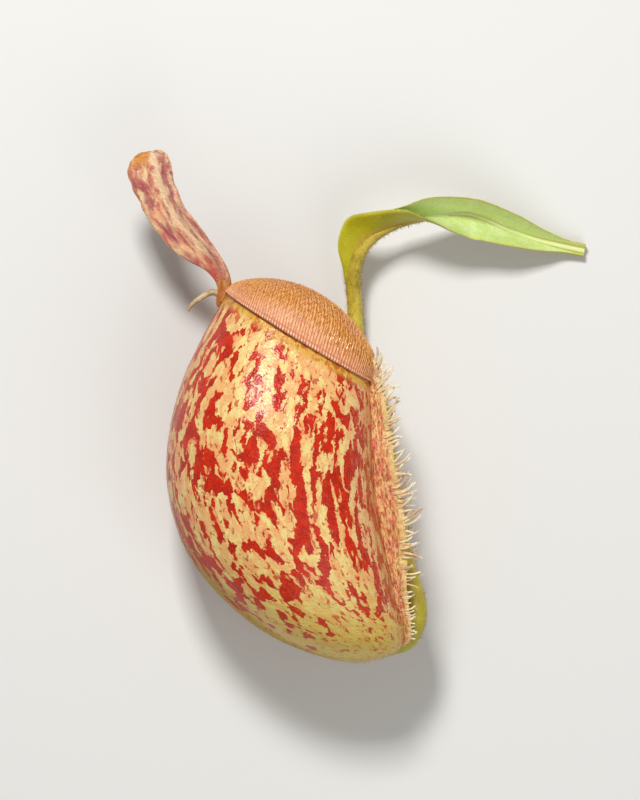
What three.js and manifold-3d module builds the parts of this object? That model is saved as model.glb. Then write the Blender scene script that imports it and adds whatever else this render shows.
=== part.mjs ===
// A picked leaf of Nepenthes ampullaria: a small folded blade, its tendril, and the pitcher at its end,
// lying on its side. Millimetres. +Z is up from the surface, +Y points from the foot of the pitcher
// towards its lid, and +X towards the leaf. The origin is under the middle of the part, on the surface.
import * as THREE from "three";
import { mergeVertices } from "three/addons/utils/BufferGeometryUtils.js";
import Module from "manifold-3d";

// Driving sizes
const AXIS_HEIGHT = 24.3; // the pitcher's plane of symmetry lies flat, this far above the surface
const WALL = 1.2; // of the cup
const SEAT_GAP = 0.35; // between two organs that meet
const EDGE_GAP = 0.6; // the same at a sharp edge, where it is measured across the corner
const FRONT_ROUNDNESS = 2.6; // exponent of the cup's section: 2 is an ellipse, more is flatter
const BACK_ROUNDNESS = 2.15;

// The cup's sections from mouth to foot: back x, y, front x, y, and depth over length
const CUP = [
  [-31.1, 27.1, 3.2, 6.2, 0.87],
  [-37.8, 15.2, 3.7, -2.5, 0.97],
  [-42.8, 3.6, 4.0, -11.0, 1.03],
  [-45.5, -9.5, 4.6, -20.0, 1.005],
  [-45.2, -21.5, 6.0, -29.0, 0.975],
  [-41.3, -33.8, 7.8, -38.5, 0.965],
  [-33.5, -44.6, 9.5, -46.5, 0.97],
  [-22.5, -53.7, 11.0, -52.8, 0.98],
  [-10.5, -59.0, 9.4, -58.2, 1.0],
];
const FOOT = [0.0, -60.9];
const NEAR_FOOT = 0.98; // the place along the cup where its direction at the foot is taken
const CUP_SIDES = 44;
const CUP_RINGS = 25;
const INNER_RINGS = 14;

// The collar round the mouth
const RIBS = 60;
const RIB_HEIGHT = 0.3;
const SIDE_OVERHANG = 1.9; // of the lip past the rim, at its sides
const END_OVERHANG = 0.5; // the same at the front and behind
const CREST_FRONT = 4.6; // height of the crest over the mouth's plane
const CREST_BACK = 3.8;
const CREST_SIDE = 10.9;
const CREST_LENGTH = 16.6; // half axes of the crest's ring
const CREST_DEPTH = 9.5;
const CREST_SHIFT = -0.5; // of the crest's ring towards the back
const SADDLE = 1.5; // exponent of the crest's rise from its ends to its sides
const ROLL = 2.0; // the collar turns in by this past its crest, and down inside the mouth by
const ROLL_DROP = 4.5;
const COLLAR_THICKNESS = 1.4;
// Rings of the collar: over its upper face, and back under it (0 lip, 1 crest, 2 inner margin)
const UPPER_RINGS = [0.02, 0.25, 0.5, 0.75, 1, 1.35, 1.7, 2];
const UNDER_RINGS = [1.9, 1.1, 0.6, 0.3];
const LIP_RINGS = [[0.2, 0], [0.7, -0.15]]; // out and up, as parts of the overhang
const RIB_FADE = [0.3, 4]; // height of the ribs at the lip, as a part, and how fast they gain it

// Wings: place along the cup (0 mouth, 1 foot), width, and how far the blade points up, in degrees
const NEAR_WING = [
  [0.0, 3.0, 75],
  [0.04, 3.4, 45],
  [0.11, 4.4, 18],
  [0.22, 5.2, 10],
  [0.33, 6.2, 5],
  [0.44, 6.4, 2],
  [0.55, 4.6, 0],
  [0.66, 3.0, -2],
  [0.77, 2.1, -5],
  [0.86, 2.0, -10],
];
const FAR_WING = [
  [0.22, 1.6, 8],
  [0.3, 4.6, 6],
  [0.4, 5.6, 3],
  [0.5, 5.0, 0],
  [0.6, 3.8, -2],
  [0.72, 2.4, -4],
  [0.84, 1.8, -8],
];
const WING_ANGLES = [[23], [20], [19], [17], [12]]; // of the wing's root round the cup, mouth to foot
const WING_FLARE = 24; // degrees that the blade leans away from the plane of symmetry
const WING_THICKNESS = 0.8;
const WING_ROOT = 1.4; // depth of the blade's root inside the cup's outer face, before it is cut
const WING_LINES = [0.2, 0.6, 1]; // across the blade, as parts of its width
const WING_STEPS = 32;
const WING_WAVE = 0.5; // height of the blade's waves at its free edge
const WING_WAVES = 37; // radians of wave along the whole wing
const FULL_WAVE_WIDTH = 4; // a narrower blade waves less
const NEAR_FILAMENTS = 40;
const FAR_FILAMENTS = 24;
const FRINGE_END = 0.86; // part of the wing's length that carries filaments
const FRINGE_FADE = [0.62, 0.95, 0.35]; // where the filaments grow shorter, and their last length
const FILAMENT_RADIUS = 0.42;
const FILAMENT_LENGTH = [4.6, 6.6];
const FILAMENT_TAPER = [1, 1, 0.6];
const FILAMENT_ROOT = 1.1; // length that is sunk in the blade
const FILAMENT_LIFT = [52, -8, 26]; // degrees upwards at the mouth, at the foot, and the spread of both
const FILAMENT_SPLAY = [8, 52]; // degrees away from the plane of symmetry
const FILAMENT_CURL = [0.08, 0.24]; // bend of the tip towards the lid, as a part of the length

// The lid's middle line from its foot to its tip: x, y, height, half width, thickness
const LID = [
  [-32.6, 24.8, 24.3, 1.1, 2.4],
  [-31.7, 28.2, 24.3, 1.7, 2.2],
  [-32.4, 31.3, 24.6, 2.4, 1.5],
  [-34.7, 34.7, 24.8, 3.3, 1.1],
  [-38.8, 38.9, 25.1, 5.1, 1.0],
  [-42.8, 43.3, 25.4, 5.7, 0.9],
  [-45.3, 47.2, 25.6, 5.9, 0.9],
  [-46.8, 50.6, 25.7, 6.0, 0.9],
  [-48.1, 54.0, 25.8, 6.7, 0.9],
  [-48.65, 57.1, 26.0, 6.6, 0.9],
  [-48.95, 59.5, 26.0, 5.3, 0.9],
  [-49.1, 60.68, 26.0, 3.0, 0.9],
];
const LID_TURN = -35; // degrees that the lid's face is turned from the plane of symmetry
const LID_FOLD = 16; // degrees that each half is raised from flat
const LID_MIDRIB = 1.7; // thickness at the middle line over that of the blade, on the outer side
const LID_LINES = [1, 0.5, 0, -0.5, -1]; // across the lid, as parts of its half width
const LID_STEPS = 26;

// The spur's middle line: x, y, height, radius
const SPUR = [
  [-32.4, 26.0, 24.3, 0.9],
  [-34.6, 27.1, 24.3, 0.8],
  [-37.2, 26.0, 24.5, 0.65],
  [-39.4, 24.4, 24.7, 0.5],
  [-40.6, 22.6, 24.8, 0.32],
];

// The tendril's middle line from the foot of the cup to the leaf: x, y, height, radius
const TENDRIL = [
  [6.4, -56.8, 24.3, 2.3],
  [10.9, -56.0, 24.3, 2.5],
  [13.3, -52.2, 24.0, 2.6],
  [13.8, -47.4, 23.4, 2.5],
  [12.6, -42.4, 22.6, 2.35],
  [10.6, -35.0, 21.6, 2.1],
  [8.9, -25.4, 20.9, 1.95],
  [7.5, -15.8, 20.3, 1.9],
  [6.6, -7.6, 18.9, 1.9],
  [5.7, -1.6, 15.4, 1.9],
  [4.2, 3.8, 11.0, 1.9],
  [2.3, 8.6, 7.5, 1.9],
  [0.4, 13.4, 5.9, 1.9],
  [-0.5, 19.0, 6.2, 1.85],
  [-0.8, 24.4, 7.4, 1.85],
  [-1.2, 28.6, 8.8, 1.85],
];

// The leaf's midrib from the tendril to its cut stalk: x, y, height, radius, half width of the blade,
// turn of the fold about the midrib and half of its opening, both in degrees
const LEAF = [
  [-1.2, 29.15, 8.9, 1.85, 1.9, -6, 7],
  [-0.8, 32.9, 9.8, 1.7, 3.1, -6, 7],
  [0.4, 36.7, 10.5, 1.5, 5.9, -6, 7],
  [2.5, 39.4, 10.9, 1.35, 7.8, 8, 6],
  [5.4, 41.7, 11.2, 1.25, 8.2, 44, 3],
  [9.2, 43.6, 11.2, 1.15, 8.3, 62, 3],
  [12.0, 44.5, 11.0, 1.1, 8.4, 70, 6],
  [15.1, 45.2, 10.6, 1.1, 8.4, 79, 17],
  [19.4, 46.0, 9.6, 1.1, 8.4, 92, 27],
  [25.4, 46.3, 7.8, 1.15, 8.4, 102, 34],
  [29.6, 45.4, 6.4, 1.2, 8.3, 97, 33],
  [36.1, 42.6, 4.6, 1.25, 7.4, 90, 31],
  [43.2, 40.2, 3.0, 1.35, 4.8, 90, 32],
  [49.4, 38.7, 1.9, 1.5, 2.4, 90, 38],
  [54.7, 37.6, 1.45, 1.6, 1.9, 90, 40],
];
const LEAF_THICKNESS = 0.75;
const LEAF_LINES = [-1, -0.6, -0.25, 0, 0.25, 0.6, 1]; // across the blade, as parts of its half width
const LEAF_STEPS = 24;

const wasm = await Module();
wasm.setup();

const DEGREE = Math.PI / 180;
const UP = new THREE.Vector3(0, 0, 1);

// Smooth values between the rows of a table: u is 0 at the first row and 1 at the last.
function between(table, u) {
  const last = table.length - 1;
  const place = THREE.MathUtils.clamp(u, 0, 1) * last;
  const i = Math.min(Math.floor(place), last - 1);
  const f = place - i;
  const row = (k) => table[THREE.MathUtils.clamp(k, 0, last)];
  return table[0].map((_, c) => {
    const [p, q, r, s] = [row(i - 1)[c], row(i)[c], row(i + 1)[c], row(i + 2)[c]];
    const rising = (r - p) * f;
    const bending = (2 * p - 5 * q + 4 * r - s) * f * f;
    const easing = (3 * q - p - 3 * r + s) * f * f * f;
    return q + 0.5 * (rising + bending + easing);
  });
}

// The direction of a table's middle line, whose first three columns are x, y and height
function direction(table, u) {
  const step = 0.01;
  const ahead = new THREE.Vector3(...between(table, Math.min(u + step, 1)).slice(0, 3));
  const behind = new THREE.Vector3(...between(table, Math.max(u - step, 0)).slice(0, 3));
  return ahead.sub(behind).normalize();
}

// A repeatable random draw between 0 and 1
function seeded(seed) {
  let state = seed;
  return () => {
    state = (state * 1664525 + 1013904223) % 4294967296;
    return state / 4294967296;
  };
}

// A closed surface through rings of equal length, each a list of points. Its ends are closed by a point
// each, or the last ring joins the first. Past column "turned" the squares are split the other way, so
// that the two faces of a thin blade are split alike.
function loft(rings, { ends = null, turned = Infinity } = {}) {
  const count = rings[0].length;
  const points = rings.flat();
  const faces = [];
  const spans = ends ? rings.length - 1 : rings.length;
  for (let i = 0; i < spans; i++) {
    for (let j = 0; j < count; j++) {
      const a = i * count + j;
      const b = i * count + ((j + 1) % count);
      const c = ((i + 1) % rings.length) * count + j;
      const d = ((i + 1) % rings.length) * count + ((j + 1) % count);
      if (j >= turned) faces.push(a, b, d, a, d, c);
      else faces.push(a, b, c, b, d, c);
    }
  }
  if (ends) {
    const first = points.push(ends[0]) - 1;
    const final = points.push(ends[1]) - 1;
    const start = (rings.length - 1) * count;
    for (let j = 0; j < count; j++) {
      faces.push(first, (j + 1) % count, j);
      faces.push(final, start + j, start + ((j + 1) % count));
    }
  }
  const shape = new THREE.BufferGeometry().setFromPoints(points);
  shape.setIndex(faces);
  return shape;
}

// The same closed surface, moved outwards by a distance
function grown(shape, distance) {
  const bigger = shape.clone();
  bigger.computeVertexNormals();
  const { position, normal } = bigger.attributes;
  for (let i = 0; i < position.count; i++) {
    position.setXYZ(
      i,
      position.getX(i) + distance * normal.getX(i),
      position.getY(i) + distance * normal.getY(i),
      position.getZ(i) + distance * normal.getZ(i),
    );
  }
  bigger.deleteAttribute("normal");
  return bigger;
}

function solid(shape) {
  const bare = shape.clone();
  for (const name of ["normal", "uv"]) bare.deleteAttribute(name);
  const merged = mergeVertices(bare, 1e-4);
  return new wasm.Manifold(
    new wasm.Mesh({
      numProp: 3,
      vertProperties: merged.attributes.position.array,
      triVerts: new Uint32Array(merged.index.array),
    }),
  );
}

// The largest body of a solid as a geometry: what a cut leaves loose is dropped.
function shapeOf(body) {
  const pieces = body.decompose().sort((a, b) => b.volume() - a.volume());
  const { vertProperties, triVerts, numProp } = pieces[0].getMesh();
  const shape = new THREE.BufferGeometry();
  const places = new THREE.InterleavedBuffer(vertProperties, numProp);
  shape.setAttribute("position", new THREE.InterleavedBufferAttribute(places, 3, 0));
  shape.setIndex(new THREE.BufferAttribute(triVerts, 1));
  return shape;
}

function part(name, shape, color, roughness) {
  const finished = shape.index ? shape.toNonIndexed() : shape;
  finished.computeVertexNormals();
  const material = new THREE.MeshStandardMaterial({ color, roughness, metalness: 0 });
  const mesh = new THREE.Mesh(finished, material);
  mesh.name = name;
  return mesh;
}

// The outline turns round at the foot, so the row past the foot is the last one with its sides swapped.
const [backX, backY, frontX, frontY, footDepth] = CUP[CUP.length - 1];
const CUP_TABLE = [
  ...CUP,
  [...FOOT, ...FOOT, footDepth],
  [frontX, frontY, backX, backY, footDepth],
];
const TABLE_END = CUP.length / (CUP.length + 1); // where the foot lies in the table

// The cup's section at a place along it, 0 at the mouth and 1 at the foot
function section(place) {
  const [bx, by, fx, fy, depth] = between(CUP_TABLE, place * TABLE_END);
  const half = new THREE.Vector3((fx - bx) / 2, (fy - by) / 2, 0);
  const centre = new THREE.Vector3((fx + bx) / 2, (fy + by) / 2, AXIS_HEIGHT);
  return { centre, half, depth: half.length() * depth };
}

// A section's distance from its centre over an ellipse's, flatter on the front
function roundness(angle) {
  const n = Math.cos(angle) > 0 ? FRONT_ROUNDNESS : BACK_ROUNDNESS;
  return (Math.abs(Math.cos(angle)) ** n + Math.abs(Math.sin(angle)) ** n) ** (-1 / n);
}

function outerPoint(place, angle) {
  const { centre, half, depth } = section(place);
  const r = roundness(angle);
  return centre
    .addScaledVector(half, r * Math.cos(angle))
    .addScaledVector(UP, depth * r * Math.sin(angle));
}

function outerNormal(place, angle) {
  const step = 1e-3;
  const low = Math.max(place - step, 0);
  const along = outerPoint(low + 2 * step, angle).sub(outerPoint(low, angle));
  const round = outerPoint(low + step, angle + step).sub(outerPoint(low + step, angle - step));
  return round.cross(along).normalize();
}

// A point of the cup, a depth inside its outer face. The belly is pressed flat where it rests.
function cupPoint(place, angle, inside = 0) {
  const point = outerPoint(place, angle).addScaledVector(outerNormal(place, angle), -inside);
  point.z = Math.max(point.z, inside);
  return point;
}

function footPoint(inside = 0) {
  const { half } = section(NEAR_FOOT);
  const inwards = new THREE.Vector3(-half.y, half.x, 0).normalize();
  return new THREE.Vector3(...FOOT, AXIS_HEIGHT).addScaledVector(inwards, inside);
}

function cupRing(place, inside) {
  const angles = Array.from({ length: CUP_SIDES }, (_, j) => (2 * Math.PI * j) / CUP_SIDES);
  return angles.map((angle) => cupPoint(place, angle, inside));
}

const places = (count) => Array.from({ length: count }, (_, i) => i / count);

function cupShape() {
  const outside = places(CUP_RINGS).map((place) => cupRing(place, 0));
  const within = places(INNER_RINGS).map((place) => cupRing(place, WALL));
  return loft([...within.reverse(), ...outside], { ends: [footPoint(WALL), footPoint()] });
}

// The cup filled up to its mouth and grown by a gap: what sits on the cup is cut back by it.
function cupSeat(gap) {
  const rings = places(CUP_RINGS).map((place) => cupRing(place, 0));
  return solid(grown(loft(rings, { ends: [section(0).centre, footPoint()] }), gap));
}

// A point of the collar's section: half axes of its ring, its shift to the front, its height, and how
// far the ring has eased from the rim's rounded outline to an ellipse
function collarPoint(angle, length, depth, shift, height, easing = 0) {
  const { centre, half } = section(0);
  const forward = half.clone().normalize();
  const outwards = new THREE.Vector3(-forward.y, forward.x, 0);
  const r = THREE.MathUtils.lerp(roundness(angle), 1, easing);
  return centre
    .addScaledVector(forward, shift + length * r * Math.cos(angle))
    .addScaledVector(UP, depth * r * Math.sin(angle))
    .addScaledVector(outwards, height);
}

function overhang(angle) {
  return THREE.MathUtils.lerp(END_OVERHANG, SIDE_OVERHANG, Math.sin(angle) ** 2);
}

// The collar's upper face: v is 0 at the lip, 1 at the crest and 2 at the inner margin.
function collarFace(v, angle) {
  const { half, depth } = section(0);
  const side = Math.abs(Math.sin(angle)) ** SADDLE;
  const forward = (1 + Math.cos(angle)) / 2;
  const end = THREE.MathUtils.lerp(CREST_BACK, CREST_FRONT, forward);
  const crest = THREE.MathUtils.lerp(end, CREST_SIDE, side);
  const lip = [half.length() + overhang(angle), depth + overhang(angle)];
  const rise = Math.min(v, 1) * (Math.PI / 2);
  const fall = Math.max(v - 1, 0) * (Math.PI / 2);
  const inset = 1 - Math.cos(rise);
  const turn = ROLL * Math.sin(fall);
  return collarPoint(
    angle,
    THREE.MathUtils.lerp(lip[0], CREST_LENGTH, inset) - turn,
    THREE.MathUtils.lerp(lip[1], CREST_DEPTH, inset) - turn,
    CREST_SHIFT * inset,
    SEAT_GAP + (crest - SEAT_GAP) * Math.sin(rise) - ROLL_DROP * (1 - Math.cos(fall)),
    inset,
  );
}

function collarNormal(v, angle) {
  const step = 1e-3;
  const across = collarFace(v + step, angle).sub(collarFace(v - step, angle));
  const round = collarFace(v, angle + step).sub(collarFace(v, angle - step));
  return across.cross(round).normalize();
}

function collarShape() {
  const { half, depth } = section(0);
  const rimPoint = (angle, out, height) =>
    collarPoint(angle, half.length() + out, depth + out, 0, height);
  const ring = (at) =>
    Array.from({ length: 2 * RIBS }, (_, j) => at((Math.PI * j) / RIBS, j % 2 ? -1 : 1));
  const ribbed = (v) =>
    ring((angle, ridge) => {
      const relief = ridge * RIB_HEIGHT * Math.min(1, RIB_FADE[0] + RIB_FADE[1] * v);
      return collarFace(v, angle).addScaledVector(collarNormal(v, angle), relief);
    });
  const under = (v) =>
    ring((angle) => {
      const normal = collarNormal(v, angle);
      return collarFace(v, angle).addScaledVector(normal, -COLLAR_THICKNESS);
    });
  const lip = ([out, up]) =>
    ring((angle) => rimPoint(angle, out * overhang(angle), SEAT_GAP + up * overhang(angle)));
  const rings = [
    ring((angle) => rimPoint(angle, -0.9 * WALL, SEAT_GAP)),
    ...LIP_RINGS.map(lip),
    ...UPPER_RINGS.map(ribbed),
    ...UNDER_RINGS.map(under),
  ];
  return loft(rings.reverse());
}

// A blade through stations across it. Each station gives points from one margin to the other, with the
// blade's normal and its thickness above and below the middle there.
function blade(stations) {
  const rings = stations.map((across) => [
    ...across.map(({ point, normal, above }) => point.clone().addScaledVector(normal, above)),
    ...across
      .map(({ point, normal, below }) => point.clone().addScaledVector(normal, -below))
      .reverse(),
  ]);
  const middle = (ring) =>
    ring.reduce((sum, p) => sum.add(p), new THREE.Vector3()).divideScalar(ring.length);
  return loft(rings, {
    ends: [middle(rings[0]), middle(rings[rings.length - 1])],
    turned: stations[0].length,
  });
}

// A tapered round stem along a table whose first columns are x, y, height and radius
function stem(table, steps, sides) {
  const at = (u) => {
    const [x, y, z, radius] = between(table, u);
    return { point: new THREE.Vector3(x, y, z), radius };
  };
  let across = new THREE.Vector3(0, 0, 1);
  const rings = Array.from({ length: steps + 1 }, (_, i) => {
    const u = i / steps;
    const { point, radius } = at(u);
    const along = direction(table, u);
    across = across.addScaledVector(along, -across.dot(along)).normalize();
    const other = along.clone().cross(across);
    return Array.from({ length: sides }, (_, j) => {
      const angle = (2 * Math.PI * j) / sides;
      return point
        .clone()
        .addScaledVector(across, radius * Math.cos(angle))
        .addScaledVector(other, radius * Math.sin(angle));
    });
  });
  return loft(rings, { ends: [at(0).point, at(1).point] });
}

// A point of a wing's root on the cup, the direction in which the blade stands there, its width and wave
function wingEdge(table, side, u) {
  const [place, width, rise] = between(table, u);
  const [turn] = between(WING_ANGLES, place);
  const flare = WING_FLARE * DEGREE;
  const out = new THREE.Vector3(
    Math.cos(rise * DEGREE) * Math.cos(flare),
    Math.sin(rise * DEGREE) * Math.cos(flare),
    side * Math.sin(flare),
  );
  const wave = WING_WAVE * Math.sin(u * WING_WAVES) * Math.min(1, width / FULL_WAVE_WIDTH);
  return { root: cupPoint(place, side * turn * DEGREE), out, width, wave };
}

function wingBlade(table, side) {
  const stations = Array.from({ length: WING_STEPS + 1 }, (_, i) => {
    const { root, out, width, wave } = wingEdge(table, side, i / WING_STEPS);
    const normal = new THREE.Vector3(0, -side, 0).cross(out).normalize();
    const at = (reach, lean) => ({
      point: root.clone().addScaledVector(out, reach).addScaledVector(normal, lean),
      normal,
      above: WING_THICKNESS / 2,
      below: WING_THICKNESS / 2,
    });
    return [at(-WING_ROOT, 0), ...WING_LINES.map((f) => at(f * width, wave * f * f))];
  });
  return blade(side > 0 ? stations.reverse() : stations);
}

// One blunt curved filament at a place along a wing's edge
function filament(table, side, u, draw) {
  const { root, out, width } = wingEdge(table, side, u);
  const [fadeStart, fadeEnd, last] = FRINGE_FADE;
  const fading = THREE.MathUtils.lerp(1, last, THREE.MathUtils.smoothstep(u, fadeStart, fadeEnd));
  const length = THREE.MathUtils.lerp(...FILAMENT_LENGTH, draw()) * fading;
  const [first, final, spread] = FILAMENT_LIFT;
  const lift = (THREE.MathUtils.lerp(first, final, u) + spread * (draw() - 0.5)) * DEGREE;
  const splay = side * THREE.MathUtils.lerp(...FILAMENT_SPLAY, draw()) * DEGREE;
  const curl = length * THREE.MathUtils.lerp(...FILAMENT_CURL, draw());
  const from = root.clone().addScaledVector(out, width - FILAMENT_ROOT);
  const heading = new THREE.Vector3(
    Math.cos(lift) * Math.cos(splay),
    Math.sin(lift) * Math.cos(splay),
    Math.sin(splay),
  );
  const rows = FILAMENT_TAPER.map((taper, i) => {
    const f = i / (FILAMENT_TAPER.length - 1);
    const point = from
      .clone()
      .addScaledVector(out, FILAMENT_ROOT * Math.min(1, 3 * f))
      .addScaledVector(heading, length * f);
    return [point.x, point.y + curl * f * f, point.z, FILAMENT_RADIUS * taper];
  });
  return solid(stem(rows, rows.length - 1, 3));
}

// A wing: a thin blade that stands on the cup's front, with blunt curved filaments along its edge
function wing(table, side, filaments, seed) {
  const draw = seeded(seed);
  const fringe = Array.from({ length: filaments }, (_, k) => {
    const u = (FRINGE_END * (k + 0.3 + 0.4 * draw())) / filaments;
    return filament(table, side, u, draw);
  });
  return wasm.Manifold.union([solid(wingBlade(table, side)), ...fringe]);
}

// Everything under the surface that the part lies on
function belowSurface() {
  const size = 200;
  return solid(new THREE.BoxGeometry(size, size, size).translate(0, 0, -size / 2));
}

// The lid: a narrow blade folded a little along its midrib
function lidShape() {
  const fold = LID_FOLD * DEGREE;
  const turn = LID_TURN * DEGREE;
  const stations = Array.from({ length: LID_STEPS + 1 }, (_, i) => {
    const [x, y, z, width, thickness] = between(LID, i / LID_STEPS);
    const along = direction(LID, i / LID_STEPS);
    const across = new THREE.Vector3(-along.y, along.x, 0)
      .normalize()
      .multiplyScalar(Math.cos(turn))
      .addScaledVector(UP, Math.sin(turn));
    const normal = along.clone().cross(across).normalize();
    return LID_LINES.map((f) => ({
      point: new THREE.Vector3(x, y, z)
        .addScaledVector(across, f * width * Math.cos(fold))
        .addScaledVector(normal, Math.abs(f) * width * Math.sin(fold)),
      normal,
      above: thickness / 2,
      below: (thickness / 2) * (f === 0 ? LID_MIDRIB : 1),
    }));
  });
  return blade(stations);
}

// The leaf: a blade folded along its midrib, whose two halves open out towards its stalk
function leafShape() {
  const stations = Array.from({ length: LEAF_STEPS + 1 }, (_, i) => {
    const [x, y, z, , width, turn, opening] = between(LEAF, i / LEAF_STEPS);
    const along = direction(LEAF, i / LEAF_STEPS);
    const upright = new THREE.Vector3(-along.y, along.x, 0).normalize();
    const level = along.clone().cross(upright);
    const towards = (degrees) =>
      upright
        .clone()
        .multiplyScalar(Math.cos(degrees * DEGREE))
        .addScaledVector(level, Math.sin(degrees * DEGREE));
    return LEAF_LINES.map((f) => {
      const heading = towards(turn + Math.sign(f) * opening);
      return {
        point: new THREE.Vector3(x, y, z).addScaledVector(heading, Math.abs(f) * width),
        normal: f === 0 ? towards(turn) : towards(turn - Math.sign(f) * (90 - opening)),
        above: 0,
        below: LEAF_THICKNESS,
      };
    });
  });
  return solid(blade(stations)).add(solid(stem(LEAF, 22, 8))).subtract(belowSurface());
}

// Each organ gives way to those that it grows from.
const seat = cupSeat(SEAT_GAP);
const edgeSeat = cupSeat(EDGE_GAP);
const collar = collarShape();
const collarSeat = solid(grown(collar, SEAT_GAP));
const lid = solid(lidShape()).subtract(edgeSeat).subtract(collarSeat);
const lidSeat = solid(grown(lidShape(), EDGE_GAP));
const spur = solid(stem(SPUR, 8, 8)).subtract(edgeSeat).subtract(lidSeat);
const nearWing = wing(NEAR_WING, 1, NEAR_FILAMENTS, 7).subtract(seat).subtract(collarSeat);
const farWing = wing(FAR_WING, -1, FAR_FILAMENTS, 11).subtract(seat);
const tendril = solid(stem(TENDRIL, 46, 8)).subtract(seat);

const group = new THREE.Group();
group.add(
  part("pitcher_cup", cupShape(), 0xd9a26a, 0.35),
  part("peristome", collar, 0xc0743c, 0.4),
  part("lid", shapeOf(lid), 0xd9a89a, 0.5),
  part("spur", shapeOf(spur), 0xc9b184, 0.6),
  part("wing_near", shapeOf(nearWing), 0xe0c08c, 0.5),
  part("wing_far", shapeOf(farWing), 0xe0c08c, 0.5),
  part("tendril", shapeOf(tendril), 0xa3a82a, 0.55),
  part("leaf_blade", shapeOf(leafShape()), 0x9fb845, 0.5),
);

export default group;
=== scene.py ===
"""A picked pitcher leaf: a folded blade, its tendril and a mottled pitcher lying on its side.

Places are millimetres in the part's own frame until a mesh is made, and the meshes are in metres.
"""

import math

import bpy
import numpy as np
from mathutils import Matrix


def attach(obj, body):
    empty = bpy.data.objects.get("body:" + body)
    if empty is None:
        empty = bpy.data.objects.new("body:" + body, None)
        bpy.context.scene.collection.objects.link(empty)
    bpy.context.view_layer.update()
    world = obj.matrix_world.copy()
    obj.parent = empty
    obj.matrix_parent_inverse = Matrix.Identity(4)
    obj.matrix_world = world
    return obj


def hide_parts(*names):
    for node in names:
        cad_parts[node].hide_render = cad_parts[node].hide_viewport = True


bl_info = {
    "name": "Pitcher Leaf",
    "version": (1, 0, 0),
    "blender": (4, 5, 0),
    "location": "3D View > Sidebar > Pitcher Leaf",
    "description": "Finishes a picked pitcher leaf around its packed solids",
    "category": "Object",
}

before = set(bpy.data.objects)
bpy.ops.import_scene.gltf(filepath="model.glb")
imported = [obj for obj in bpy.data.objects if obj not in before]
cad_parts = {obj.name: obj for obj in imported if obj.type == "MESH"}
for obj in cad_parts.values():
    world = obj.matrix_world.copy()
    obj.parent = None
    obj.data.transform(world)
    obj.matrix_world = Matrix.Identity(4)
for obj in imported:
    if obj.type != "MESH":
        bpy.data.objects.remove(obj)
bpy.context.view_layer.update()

MM = 0.001
DEGREE = math.pi / 180
UP = np.array([0.0, 0.0, 1.0])
SEAM = 2e-6  # metres: nearer points of a sheet are one point
SMOOTH_ANGLE = 50  # degrees

# The cup, as in the solids: back x, y, front x, y, and depth over length, from the mouth to the foot
AXIS_HEIGHT = 24.3
WALL = 1.2
FRONT_ROUNDNESS = 2.6
BACK_ROUNDNESS = 2.15
CUP = [
    [-31.1, 27.1, 3.2, 6.2, 0.87],
    [-37.8, 15.2, 3.7, -2.5, 0.97],
    [-42.8, 3.6, 4.0, -11.0, 1.03],
    [-45.5, -9.5, 4.6, -20.0, 1.005],
    [-45.2, -21.5, 6.0, -29.0, 0.975],
    [-41.3, -33.8, 7.8, -38.5, 0.965],
    [-33.5, -44.6, 9.5, -46.5, 0.97],
    [-22.5, -53.7, 11.0, -52.8, 0.98],
    [-10.5, -59.0, 9.4, -58.2, 1.0],
]
FOOT = [0.0, -60.9]
LAST_BACK, LAST_FRONT, LAST_DEPTH = CUP[-1][:2], CUP[-1][2:4], CUP[-1][4]
CUP_TABLE = [*CUP, [*FOOT, *FOOT, LAST_DEPTH], [*LAST_FRONT, *LAST_BACK, LAST_DEPTH]]
TABLE_END = len(CUP) / (len(CUP) + 1)
NEAR_FOOT = 0.98
LINING_END = 0.95
LINING_POLE = 0.97
SKIN_LENGTH = 92.0  # from the mouth to the foot along the cup's back
VEIN_ANGLES = [157, 166, 194, 203, 27, 33, 327, 333]  # degrees round the cup
VEIN_HEIGHT = 0.12
VEIN_WIDTH = 1.9  # degrees
VEIN_FADE = [0.03, 0.12, 0.85, 0.99]

# The cup's fuzz: places along the cup, lengths, radius, sag, and where the resting side is bare
FUZZ_SPAN = (0.03, 0.985)
FUZZ_LENGTHS = (0.35, 0.8)
FUZZ_RADIUS = 0.02
FUZZ_SAG = (0.0, -0.3, 0.0)
FUZZ_LOWEST = 1.5
FUZZ_STEEPEST = -0.85

# The collar, with the outline it has in the solids and its ribs at about their real number
SEAT_GAP = 0.35
SIDE_OVERHANG = 1.9
END_OVERHANG = 0.5
CREST_FRONT = 4.6
CREST_BACK = 3.8
CREST_SIDE = 10.9
CREST_LENGTH = 16.6
CREST_DEPTH = 9.5
CREST_SHIFT = -0.5
SADDLE = 1.5
ROLL = 2.0
ROLL_DROP = 4.5
COLLAR_THICKNESS = 1.4
COLUMNS_PER_RIB = 8
RIB_SWELL = 0.9  # how much taller the ribs are near the crest
RIB_SWELL_PLACE = [0.97, 0.2]  # middle and width
RIB_LEAN = 0.26  # radians towards the lid, from the lip to the crest
LIP_PLACES = [0.0, 0.008, 0.018, 0.028, 0.038, 0.048, 0.06, 0.08, 0.115]
LIP_BEAD = 0.22
LIP_BEAD_PLACE = [0.018, 0.017]  # middle and width
LIP_DROOP = 1.35
COLLAR_FLOW_RADIUS = 18
COLLAR_FLOW_WIDTH = 10  # of its skin from the lip to the crest

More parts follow.
